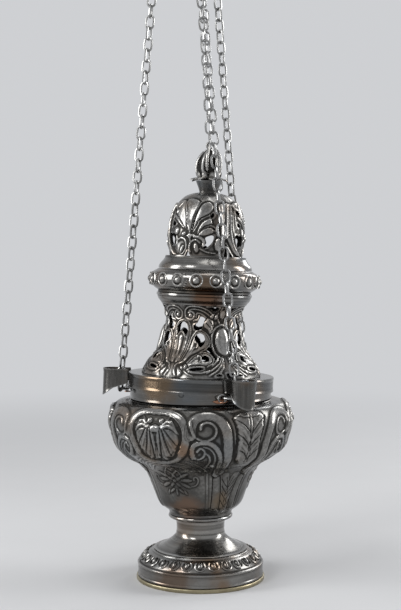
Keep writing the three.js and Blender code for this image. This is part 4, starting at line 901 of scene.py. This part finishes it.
bowl = {
    "profile": [(19.4, 40.9), (21.3, 43.4), (24.6, 45.9), (26.6, 48.4), (28.6, 53.5), (30.4, 58.5), (32.4, 63.5),
                (34.2, 67.2), (36.0, 70.0), (39.4, 73.4), (44.6, 76.4), (50.0, 80.6), (52.8, 84.4), (54.4, 90.0),
                (55.9, 95.0), (56.8, 99.8), (56.4, 103.6), (55.2, 107.6), (52.6, 111.2), (49.0, 112.6),
                (44.4, 113.0)],
    "axisDegrees": -118.2, "split": 29.6, "end": 93.5, "columns": 720, "cupRows": 80, "bellyRows": 130, "spare": 12,
    "inset": 0.8, "wall": 1.2, "innerStep": 6, "innerSides": 180, "seed": 4, "uneven": 0.07,
    "bellyInside": ((32.0, 65.0), (43.6, 112.6)), "cupInside": ((3.3, 42.3), (31.0, 64.4)),
    "floor": [(3.3, 40.9), (19.4, 40.9), (19.4, 42.3), (3.3, 42.3)], "floorSides": 120,
}


# One of the two pieces; `spare` rows past the join keep its surface and wear the same on both sides.
def bowlPiece(name, low, high, rows, inside, onTop):
    spare, depth = bowl["spare"], bowl["inset"] + bowl["wall"]
    step = (high - low) / (rows - 1) * spare
    reach, keep = ((low - step, high), slice(spare, None)) if onTop else ((low, high + step), slice(None, rows))
    sheet = Sheet(bowl["profile"], rows + spare, bowl["columns"], bowl["axisDegrees"], reach)
    sheet.chase(drawnFrom(bowlRelief)).spread(bowl["seed"], bowl["uneven"])
    inner = np.stack([sheet.radii, sheet.heights], 1) - sheet.normals * depth
    inner = [inside[1], *inner[keep][::bowl["innerStep"]][::-1], inside[0]]
    back = turned(inner, bowl["innerSides"], closed=False)
    dress(name, "bowl", gathered([sheet.skin(bowl["inset"], keep), back]), "bowl", sharp=None)


bowlPiece("bowl_belly", bowl["split"], bowl["end"], bowl["bellyRows"], bowl["bellyInside"], True)
bowlPiece("bowl_cup", 0.0, bowl["split"], bowl["cupRows"], bowl["cupInside"], False)
dress("bowl_floor", "bowl", turned(bowl["floor"], bowl["floorSides"]), "bowl")
print("bowl chased")

# Pierced skirt and cupola of the lid, in the lid's own frame

thin = {"wall": 0.9, "inset": 0.5, "lines": (0.5, 0.95), "seed": 11, "uneven": 0.06, "sharp": 60}
thinSheets = {
    "pierced_skirt": {
        "profile": [(37.3, 9.3), (36.2, 12.4), (33.9, 16.6), (31.0, 19.6), (28.6, 22.8), (26.9, 25.4), (25.3, 30.0),
                    (24.4, 35.0), (23.4, 40.0), (23.2, 44.2), (23.8, 48.0), (26.1, 51.7)],
        "relief": skirtRelief, "axisDegrees": -121.2, "rows": 104, "columns": 456, "mirrored": True},
    "cupola": {
        "profile": [(22.7, 81.6), (23.1, 85.6), (23.4, 90.0), (23.6, 94.5), (23.0, 99.5), (22.3, 104.5),
                    (21.0, 109.5), (18.8, 114.3), (16.6, 117.0), (13.6, 119.4), (9.4, 121.0), (5.4, 121.6)],
        "relief": cupolaRelief, "axisDegrees": -117.7, "rows": 112, "columns": 396, "mirrored": False},
}
for node, form in thinSheets.items():
    sheet = Sheet(form["profile"], form["rows"], form["columns"], form["axisDegrees"], mirrored=form["mirrored"],
                  lines=thin["lines"])
    sheet.chase(drawnFrom(form["relief"])).spread(thin["seed"], thin["uneven"]).lip()
    shape = sheet.pierced(thin["wall"], thin["inset"])
    dress(f"{node}_sheet", node, shape, "pierced", onLid=True, sharp=thin["sharp"])
    print(node, "cut,", len(shape[1]), "faces")

# Foot, stem and collar ring


# A quarter of a circle in a profile, from an angle on.
def quarter(radius, height, size, start):
    return [(radius + size * math.cos(start + a), height + size * math.sin(start + a))
            for a in np.linspace(0, 1.57, 5)]


footForm = {
    "edge": [(37.6, 0), *quarter(39.3, 0.6, 0.6, -math.pi / 2), *quarter(39.2, 1.8, 0.7, 0), (37.6, 2.5)],
    "band": [(38.8, 2.8), (39.1, 3.0), (39.1, 3.9), (38.85, 4.2), (38.85, 9.4), (39.2, 9.7), (39.35, 10.3),
             (39.2, 10.9), (38.6, 11.2), (38.0, 11.0), (37.6, 11.2)],
    "shoulder": [(37.5, 11.4), (37.3, 12.2), (35.8, 14.2), (33.6, 16.1), (31.4, 17.3), (30.4, 17.6), (30.1, 18.4),
                 (29.4, 18.7)],
    "under": [(28.3, 18.6), (28.2, 17.4), (31.0, 16.2), (34.0, 13.6), (36.0, 11.0), (37.9, 9.6), (37.9, 2.8)],
    "step": 0.4, "underStep": 1.5, "sides": 180,
    "beads": {"count": 27, "radius": 34.5, "height": 15.2, "tilt": math.radians(46), "phase": math.radians(3),
              "finish": "foot"},
    "egg": {"wide": 1.75, "tall": 2.75, "rise": 1.45},
    "claw": {"half": 3.1, "tall": 3.4, "drop": -0.2, "proud": 0.25, "open": 2.3, "steps": 15, "wire": 0.6,
             "sides": 6, "wear": 0.75},
}
dress("foot_edge", "foot_edge_ring", turned(footForm["edge"], footForm["sides"]), "edge")
outside = [*straight(footForm["band"], footForm["step"]), *curve(footForm["shoulder"], footForm["step"])]
dress("foot_body", "foot_shell", turned([*outside, *straight(footForm["under"], footForm["underStep"])],
                                        footForm["sides"]), "foot")

stem = {
    "outside": [(29.0, 19.5), (26.6, 19.9), (23.4, 21.4), (20.4, 23.2), (17.6, 25.3), (15.7, 27.4), (15.0, 29.6),
                (14.9, 32.0), (15.0, 34.4), (15.3, 36.4), (15.6, 37.7)],
    "inside": [(3.3, 37.7), (3.3, 36.5), (13.9, 36.5), (13.7, 31.0), (14.2, 27.6), (17.2, 23.6), (22.4, 20.0),
               (29.0, 19.0)],
    "ring": [(16.0, 38.0), (18.4, 38.1), (19.6, 38.7), (20.0, 39.5), (19.7, 40.3), (19.2, 40.6)],
    "step": 0.4, "ringStep": 0.25, "sides": 144,
}
dress("stem_turned", "stem",
      turned([*curve(stem["outside"], stem["step"]), *stem["inside"]], stem["sides"]), "stem")
dress("collar_ring_turned", "bowl_collar_ring",
      turned([(3.3, 38.0), *curve(stem["ring"], stem["ringStep"]), (3.3, 40.6)], stem["sides"]), "plain")

ringOf("foot_eggs", "foot_shell", ovalDome(**footForm["egg"]), uneven=0.05, seed=3, **footForm["beads"])
claw = footForm["claw"]
path = [(claw["proud"], claw["half"] * math.sin(a), claw["drop"] - claw["tall"] * math.cos(a))
        for a in np.linspace(-claw["open"], claw["open"], claw["steps"])]
ringOf("foot_settings", "foot_shell", worn(wireShape(path, claw["wire"], claw["sides"]), claw["wear"]),
       uneven=0.02, seed=5, **footForm["beads"])
print("foot set")

# Rim collar with its nearly flat rivets, then the lid's turned pieces

rim = {
    "profile": [(42.7, 113.4), (43.9, 113.4), (43.9, 113.9), (43.75, 114.3), (43.75, 123.6), (43.9, 124.1),
                (43.7, 124.7), (42.9, 124.7), (42.7, 124.2), (42.7, 113.4)],
    "step": 1.0, "sides": 180, "rivetDegrees": (-105, 15, 135), "rivetRadius": 43.72, "rivetHeight": 119.2,
    "rivet": {"wide": 1.7, "tall": 1.7, "rise": 0.25, "rings": 4, "sides": 20},
}
rivet = ovalDome(**rim["rivet"])
rivets = [moved(rivet, Matrix.Translation(polar(rim["rivetRadius"], turn, rim["rivetHeight"]))
                @ Matrix.Rotation(math.radians(turn), 4, "Z")) for turn in rim["rivetDegrees"]]
dress("rim_collar_turned", "rim_collar",
      gathered([turned(straight(rim["profile"], rim["step"])[:-1], rim["sides"]), *rivets]), "band")

band = {
    "profile": [(44.6, 0), (45.1, 0), (45.2, 0.3), (45.2, 1.1), (45.0, 1.4), (45.0, 7.0), (45.2, 7.3), (45.2, 8.3),
                (44.9, 8.8), (44.3, 8.9), (33.0, 8.9), (33.0, 8.1), (44.6, 8.1)],
    "step": 0.8, "sides": 180,
}
dress("lid_band_turned", "lid_band", turned(straight(band["profile"], band["step"]), band["sides"]), "band",
      onLid=True)

knop = {
    "foot": [(26.2, 52.1), (26.8, 53.2), (28.3, 54.9), (28.9, 56.2), (29.1, 57.2)],
    "mould": [(29.1, 57.2), (29.6, 57.6), (29.6, 58.6), (28.9, 59.2), (28.6, 60.4)],
    "belt": [(28.6, 60.4), (30.6, 61.6), (32.6, 63.4), (33.9, 65.8), (34.1, 68.2), (33.4, 70.4), (31.8, 72.0),
             (30.2, 72.8), (29.2, 73.5)],
    "inside": [(27.9, 73.5), (30.0, 70.0), (32.1, 66.4), (32.1, 64.6), (28.6, 61.1), (27.4, 58.3), (27.4, 56.5),
               (25.1, 52.1)],
    "step": 0.5, "mouldStep": 0.4, "sides": 180, "belly": {"radius": 33.7, "height": 67.2, "tilt": 0.03},
    "bosses": {"count": 18, "phase": math.radians(-98.9), "uneven": 0.04, "seed": 2},
    "boss": {"wide": 2.7, "tall": 2.7, "rise": 1.9, "sides": 20},
    "ring": {"radius": 3.75, "steps": 24, "wire": 0.5, "sides": 6, "wear": 0.8},
    "arcs": {"count": 9, "phase": math.radians(-108.9), "uneven": 0.03, "seed": 12},
    "pearl": {"wide": 0.5, "tall": 0.5, "rise": 0.45, "rings": 3, "sides": 10},
    "pearls": 7, "arcRadius": 5.6, "arcHalf": 0.75, "proud": 0.1,
}
profile = [*curve(knop["foot"], knop["step"])[:-1], *straight(knop["mould"], knop["mouldStep"])[:-1],
           *curve(knop["belt"], knop["step"]), *knop["inside"]]
dress("knop_turned", "knop", turned(profile, knop["sides"]), "plain", onLid=True)

# Round bosses, each with a ring about it, and arcs of pearls between them
form = knop["ring"]
path = ringPath((knop["proud"], 0, 0), form["radius"], (1, 0, 0), form["steps"])
ring = worn(wireShape(path, form["wire"], form["sides"], closed=True), form["wear"])
ringOf("knop_bosses", "knop", gathered([ovalDome(**knop["boss"]), ring]), **knop["belly"], **knop["bosses"])
pearl, reach = ovalDome(**knop["pearl"]), knop["arcRadius"]
pearls = [moved(pearl, Matrix.Translation((knop["proud"], reach * math.cos(a) - reach, reach * math.sin(a))))
          for a in np.linspace(-knop["arcHalf"], knop["arcHalf"], knop["pearls"])]
ringOf("knop_pearls", "knop", gathered(pearls), **knop["belly"], **knop["arcs"])

collar = {
    "outside": [(29.0, 73.8), (28.9, 75.0), (28.2, 76.6), (26.6, 78.6), (25.2, 80.6), (25.0, 81.8)],
    "inside": [(23.1, 81.8), (25.4, 78.8), (27.2, 75.4), (27.9, 73.8)], "step": 0.5, "sides": 160,
}
dress("flared_collar_turned", "flared_collar",
      turned([*curve(collar["outside"], collar["step"]), *collar["inside"]], collar["sides"]), "plain", onLid=True)
print("lid turned")

# Finial: cup, leaves, bud and eye

finial = {
    "cup": [(5.5, 121.0), (5.7, 122.2), (6.2, 123.8), (7.0, 125.8), (7.7, 127.4), (8.0, 128.4)], "cupStep": 0.4,
    "cupSides": 72, "bore": 1.8,
    "core": [(4.0, 129.9), (5.9, 133.4), (6.3, 138.4), (5.0, 143.6), (2.8, 147.3)], "coreStep": 0.5,
    "coreSides": 64,
    "petal": [(4.6, 130.4), (6.7, 133.0), (7.4, 137.2), (6.9, 141.2), (5.2, 144.6), (3.0, 147.2)],
    "petalStep": 1.2, "petalRadius": 0.95, "coreWear": 0.12, "petalWear": 0.8,
    "leaves": {"count": 8, "height": 128.9, "phase": 0.2, "uneven": 0.03, "seed": 6},
    "sepals": {"count": 9, "radius": 6.9, "height": 131.6, "tilt": -0.3, "phase": 0.1, "uneven": 0.04, "seed": 7},
    "sepal": {"wide": 2.0, "tall": 2.6, "rise": 0.7, "rings": 4, "pointed": -0.5},
    "petals": {"count": 12, "phase": 0.3, "uneven": 0.02, "seed": 8},
    "rod": [(0, 116.4), (1.5, 116.4), (1.5, 148.3), (0, 148.3)], "rodSides": 24, "loopHeight": 150.3, "loop": 2.0,
    "wire": 0.7,
}
leaf = {"start": 1.9, "length": 10.9, "half": 2.7, "foot": 0.07, "round": 0.7, "rise": 1.3, "top": 0.8,
        "droop": 0.9, "curl": 0.05, "camber": 0.5, "thick": 0.35, "rows": 9, "columns": 6}


# A leaf from the axis outwards that rises, droops and curls at its tip.
def leafShape():
    points, wear = [], []
    for side in (0, 1):
        for s in np.linspace(0, 1, leaf["rows"]):
            share = min(s * (1 - leaf["foot"]) + leaf["foot"], 1)
            wide = leaf["half"] * math.sin(math.pi * share) ** leaf["round"]
            x = leaf["start"] + leaf["length"] * (s - leaf["curl"] * s ** 4)
            z = leaf["rise"] * (math.sin(math.pi * s * leaf["top"]) - leaf["droop"] * s ** 3)
            for v in np.linspace(-1, 1, leaf["columns"]):
                points.append((x, wide * v, z + leaf["camber"] * (1 - v * v) - side * leaf["thick"]))
                wear.append(0.45 + 0.4 * (1 - v * v))
    return np.array(points), slab(leaf["rows"], leaf["columns"]), wear


# A profile filled down to the bore, which the eye bolt runs through.
def bored(profile, sides):
    low, high = profile[0][1], profile[-1][1]
    return turned([(finial["bore"], low), *profile, (finial["bore"], high)], sides)


cup = bored(curve(finial["cup"], finial["cupStep"]), finial["cupSides"])
dress("finial_cup_turned", "finial_cup", cup, "guide", onLid=True)
ringOf("leaf_collar_leaves", "leaf_collar", leafShape(), **finial["leaves"])
ringOf("leaf_collar_sepals", "leaf_collar", ovalDome(**finial["sepal"]), **finial["sepals"])
# The bud: a dark core behind narrow upright petals
core = bored(curve(finial["core"], finial["coreStep"]), finial["coreSides"])
dress("bud_core", "finial_bud", worn(core, finial["coreWear"]), "pierced", onLid=True)
path = [(radius, 0, height) for radius, height in curve(finial["petal"], finial["petalStep"])]
petal = worn(wireShape(path, finial["petalRadius"]), finial["petalWear"])
ringOf("bud_petals", "finial_bud", petal, **finial["petals"])
rod = turned(finial["rod"], finial["rodSides"], closed=False)
loop = wireShape(ringPath((0, 0, finial["loopHeight"]), finial["loop"], (0, 1, 0), 28), finial["wire"], closed=True)
dress("finial_eye_wire", "finial_eye", gathered([rod, loop]), "pierced", onLid=True)
print("finial set")

# Chain guides: bent strips on the lid band, lower at the outer end

guide = {
    "azimuths": (-62.4, 57.6, 177.6), "back": 45.5, "reach": 15.3, "half": 7.7, "lowShare": 6.7 / 7.7, "wall": 0.8,
    "top": 10.2, "tipDrop": 6.9, "flange": 1.6, "rows": 15, "bendSteps": 14, "sideStep": 1.2,
    "topFlare": (0.35, 0.14), "footFlare": (0.25, 0.1), "wear": 0.4, "tipGap": 0.3, "flangeOut": 0.4,
    "sideFrom": 1.0,
    "hookSide": [(0, 2.0), (6.2, 2.0), (9.4, -2.6)], "farSide": [(0, 1.4), (9.0, -1.8)],
}


def guideShape():
    g = guide
    tip = g["back"] + g["reach"]
    centre = tip - g["half"] - g["tipGap"]
    half = [(math.sqrt((g["back"] + g["flangeOut"]) ** 2 - aside ** 2), aside)
            for aside in np.linspace(g["half"] + g["flange"], g["half"], 3)[:-1]]
    half += [*straight([(g["back"] + g["sideFrom"], g["half"]), (centre, g["half"])], g["sideStep"])[:-1]]
    half += [(centre + g["half"] * math.cos(a), g["half"] * math.sin(a))
             for a in np.linspace(math.pi / 2, 0, g["bendSteps"])]
    line = np.array([*half, *[(x, -y) for x, y in half[-2::-1]]])
    ahead = np.gradient(line, axis=0)
    ahead /= np.linalg.norm(ahead, axis=1)[:, None]
    normal = np.stack([-ahead[:, 1], ahead[:, 0]], 1)
    # The lower edge drops towards the tip, on the side of the hook later than on the other.
    drops = [np.interp(line[:, 0], [g["back"] + x for x, _ in side] + [tip], [z for _, z in side] + [-g["tipDrop"]])
             for side in (g["farSide"], g["hookSide"])]
    low = np.where(line[:, 1] > 0, *drops)
    points, wear = [], []
    (topOut, topShare), (footOut, footShare) = g["topFlare"], g["footFlare"]
    for side in (1, -1):
        for s in np.linspace(0, 1, g["rows"]):
            narrow = g["lowShare"] + (1 - g["lowShare"]) * s
            flare = topOut * max(0, s - 1 + topShare) / topShare + footOut * max(0, footShare - s) / footShare
            at = line + normal * (side * g["wall"] / 2 + flare)
            points.append(np.stack([at[:, 0], at[:, 1] * narrow, low + (g["top"] - low) * s], 1))
            edge = max(abs(s - 0.5) * 2 - 1 + topShare, 0) / topShare
            wear += [0.5 + 0.4 * edge if side > 0 else g["wear"]] * len(line)
    return np.vstack(points), slab(g["rows"], len(line)), wear


for number, azimuth in enumerate(guide["azimuths"], 1):
    dress(f"guide_strip_{number}", f"chain_guide_{number}",
          moved(guideShape(), Matrix.Rotation(math.radians(azimuth), 4, "Z")), "guide", onLid=True, outward=True)
print("guides bent")

# Eyes, rings and hook links at the bowl's rim

eye = {
    "azimuths": (-74.6, 45.4, 165.4), "collar": 44.2, "height": 115.3, "reach": 48.0, "loop": 1.15, "wire": 0.4,
    "plateLong": 9.6, "plateTall": 2.8, "plateThick": 0.6, "plateSteps": 17, "neckIn": 0.3, "ring": 2.3,
    "ringZ": 117.6, "sides": 8, "plateEnd": 0.04, "section": ((0, -1), (0.75, -0.8), (1, 0), (0.75, 0.8), (0, 1)),
}


def eyePlate(turn):
    points, wear = [], []
    for x in np.linspace(-1, 1, eye["plateSteps"]):
        tall = eye["plateTall"] / 2 * max(eye["plateEnd"], 1 - x * x)
        spin = turn + math.degrees(x * eye["plateLong"] / 2 / eye["collar"])
        for out, rise in eye["section"]:
            points.append(polar(eye["collar"] + out * eye["plateThick"], spin, eye["height"] + rise * tall))
            wear.append(0.4 + 0.3 * out)
    return np.array(points), tube(eye["plateSteps"], len(eye["section"])), wear


def eyeWire(path, wire, closed=True):
    return wireShape(path, wire, eye["sides"], closed)


for number, (azimuth, chain) in enumerate(zip(eye["azimuths"], chains), 1):
    neck = [polar(r, azimuth, eye["height"])
            for r in np.linspace(eye["collar"] + eye["neckIn"], eye["reach"] - eye["loop"], 5)]
    around = ringPath(polar(eye["reach"], azimuth, eye["height"]), eye["loop"], (0, 0, 1), 24)
    dress(f"eye_plate_{number}", f"chain_eye_{number}",
          gathered([eyePlate(azimuth), eyeWire(neck, eye["wire"], False), eyeWire(around, eye["wire"])]), "copper",
          outward=True)
    path = ringPath(polar(eye["reach"], azimuth, eye["ringZ"]), eye["ring"], polar(1, azimuth, 0), 32)
    dress(f"eye_ring_wire_{number}", f"eye_ring_{number}", eyeWire(path, hook["ringWire"]), "chain",
          outward=True)
    foot, ring = np.array(chain["foot"]), np.array((*chain["ring"], chain["foot"][2]))
    along = (foot - ring) / np.linalg.norm(foot - ring)
    reach = hook["length"] / 2 - 2 * hook["wire"] - hook["ringWire"] - hook["gap"]
    path = ringPath(ring + along * reach, hook["width"] / 2 - hook["wire"], (0, 0, 1), 32,
                    (hook["length"] - hook["width"]) / 2, tuple(along))
    dress(f"hook_link_wire_{number}", f"hook_link_{number}", eyeWire(path, hook["wire"]), "chain",
          f"chain_{number}_lower", outward=True)

# Handle: dished plate, its eyes and post, and the two rings

handle = {
    "x": -7.4, "z": 400.0, "radius": 25.0, "thick": 1.4, "hole": 5.4, "holeX": 1.15, "sides": 144,
    # Share of the way from the chain's hole to the rim, and height over the plate's underside
    "profile": [(0.0, 1.45), (0.1, 1.75), (0.2, 1.45), (0.45, 1.4), (0.62, 1.4), (0.66, 1.62), (0.7, 1.4),
                (0.86, 1.45), (0.92, 1.9), (0.96, 2.5), (0.985, 2.6), (1.0, 2.45), (1.0, 0.8), (0.985, 0.45),
                (0.94, 0.0), (0.7, 0.0), (0.66, -0.12), (0.62, 0.0), (0.2, 0.0), (0.06, -0.15), (0.0, 0.0)],
    "loopZ": 405.2, "loop": 2.6, "wire": 0.9, "far": 0.3,
    "studs": {"count": 30, "radius": 21.6, "height": 401.4, "tilt": math.pi / 2, "uneven": 0.02, "seed": 4,
              "finish": "foot"},
    "stud": {"wide": 0.9, "tall": 0.9, "rise": 0.7, "rings": 4, "sides": 10},
}
rings = {
    "suspension_ring": {"x": handle["x"], "radius": 12.5, "wire": 1.3, "foot": 405.3},
    "pull_ring": {"x": -0.5, "radius": 7.5, "wire": 1.0, "foot": 404.6},
}


def plateShape():
    hole = np.array((handle["holeX"] - handle["x"], 0.0))
    points, wear = [], []
    for share, height in handle["profile"]:
        for a in np.linspace(0, fullTurn, handle["sides"], endpoint=False):
            way = np.array((math.cos(a), math.sin(a)))
            inner = hole + handle["hole"] * way
            b = inner @ way
            x, y = inner + way * share * (math.sqrt(b * b - inner @ inner + handle["radius"] ** 2) - b)
            points.append((x + handle["x"], y, handle["z"] + height))
            wear.append(0.5 + 0.25 * (height - 1.45) / 1.1 if height > 0.9 else 0.45)
    return np.array(points), tube(len(handle["profile"]), handle["sides"], closed=True), wear


dress("handle_plate_dish", "handle_plate", plateShape(), "plain", outward=True)
ringOf("plate_studs", "handle_plate", ovalDome(**handle["stud"]), aside=handle["x"], **handle["studs"])

rivetHead = {"share": 2.1, "rise": 0.8, "rings": 4, "sides": 16}


# A wire loop on a shank through the plate, riveted on the far side.
def rivetedLoop(centre, loopRadius, wire, axis, farFace, side):
    x, y, z = centre
    loop = wireShape(ringPath(centre, loopRadius, axis, 28), wire, closed=True)
    shank = wireShape([(x, y, h) for h in np.linspace(z - side * loopRadius, farFace, 6)], wire)
    half = wire * rivetHead["share"]
    head = ovalDome(half, half, rivetHead["rise"], rivetHead["rings"], rivetHead["sides"])
    spot = Matrix.Translation((x, y, farFace)) @ Matrix.Rotation(side * math.pi / 2, 4, "Y")
    return gathered([loop, shank, moved(head, spot)])


for number, chain in enumerate(chains, 1):
    across = polar(1, plateEye["degrees"][number - 1] + 90, 0)
    dress(f"plate_eye_wire_{number}", f"plate_eye_{number}",
          rivetedLoop(chain["head"], plateEye["loop"], plateEye["wire"], across,
                      handle["z"] + handle["thick"] + handle["far"], -1), "chain", outward=True)
dress("handle_post_wire", "handle_post",
      rivetedLoop((handle["x"], 0, handle["loopZ"]), handle["loop"], handle["wire"], (0, 1, 0),
                  handle["z"] - handle["far"], 1), "plain", outward=True)
for name, form in rings.items():
    path = ringPath((form["x"], 0, form["foot"] + form["radius"]), form["radius"], (1, 0, 0), 72)
    dress(f"{name}_wire", name, wireShape(path, form["wire"], 14, closed=True), "plain", body=name, outward=True)
print("handle made")

# CAD nodes that keep their shape, all inside the bowl, the stem or the lid

for node in ("stem_bolt", "bolt_washer", "stem_nut", "finial_nut", "fire_pan"):
    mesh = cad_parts[node].data
    mesh.materials.clear()
    mesh.materials.append(finishes["iron" if node == "fire_pan" else "brass"])

# Floor, lamps and world

studio = {"floor": (0.66, 0.665, 0.675), "floorHalf": 6, "world": 0.4, "backdrop": (0.62, 0.63, 0.65),
          "fadeFrom": 0.25, "fadeTo": 1.1, "aim": (0, 0, 0.17)}
lamps = {
    "key": {"at": (-0.6, -0.7, 0.8), "size": (0.3, 0.4), "power": 3.6},
    "left": {"at": (-0.95, -0.15, 0.45), "size": (0.36, 0.7), "power": 6.5},
    "right": {"at": (0.95, 0.15, 0.45), "size": (0.32, 0.7), "power": 6.0},
    "top": {"at": (0.1, -0.1, 1.05), "size": (0.35, 0.35), "power": 1.6},
    "back": {"at": (0.5, 0.8, 0.6), "size": (0.2, 0.5), "power": 2.0},
}


# How much of the light on its way is one that shows the backdrop: seen, mirrored or passing through.
def shownRays(graph):
    ways = [graph.add("ShaderNodeLightPath", output=way)
            for way in ("Is Camera Ray", "Is Glossy Ray", "Is Transmission Ray")]
    return (ways[0] + ways[1] + ways[2]).held()


def floorFinish():
    f = Finish("floor_stone")
    cloud = f.ramp(f.noise(9.0, 4.0, 0.6), 0.3, 0.7) * 0.5
    shade = f.mixColour(cloud, studio["floor"], [c * 0.96 for c in studio["floor"]])
    stone = f.add("ShaderNodeBsdfPrincipled", None,
                  {"Base Color": shade, "Roughness": 1.0, "Specular IOR Level": 0.0})
    glow = f.add("ShaderNodeEmission", None, {"Color": (*studio["backdrop"], 1), "Strength": 1.0})
    reach = f.add("ShaderNodeVectorMath", {"operation": "LENGTH"}, {0: f.place}, output="Value")
    far = f.ramp(reach, studio["fadeFrom"], studio["fadeTo"]) * shownRays(f)
    both = f.add("ShaderNodeMixShader", None, {0: far, 1: stone, 2: glow})
    f.add("ShaderNodeOutputMaterial", None, {"Surface": both})
    return f.material


half = studio["floorHalf"]
mesh = bpy.data.meshes.new("floor")
mesh.from_pydata([(-half, -half, 0), (half, -half, 0), (half, half, 0), (-half, half, 0)], [], [(0, 1, 2, 3)])
mesh.materials.append(floorFinish())
added("floor", mesh)

for name, lamp in lamps.items():
    data = bpy.data.lights.new(name, "AREA")
    data.shape = "RECTANGLE"
    data.size, data.size_y = lamp["size"]
    data.energy = lamp["power"]
    holder = added(name, data)
    holder.location = lamp["at"]
    holder.rotation_euler = (Vector(studio["aim"]) - holder.location).to_track_quat("-Z", "Y").to_euler()

world = bpy.data.worlds.new("studio")
world.use_nodes = True
sky = Graph(world.node_tree)
sky.tree.nodes.clear()
power = shownRays(sky) * (1.0 - studio["world"]) + studio["world"]
glow = sky.add("ShaderNodeBackground", None, {"Color": (*studio["backdrop"], 1), "Strength": power})
sky.add("ShaderNodeOutputWorld", None, {"Surface": glow})
bpy.context.scene.world = world
bpy.context.scene.view_settings.view_transform = "Standard"
print("studio lit")
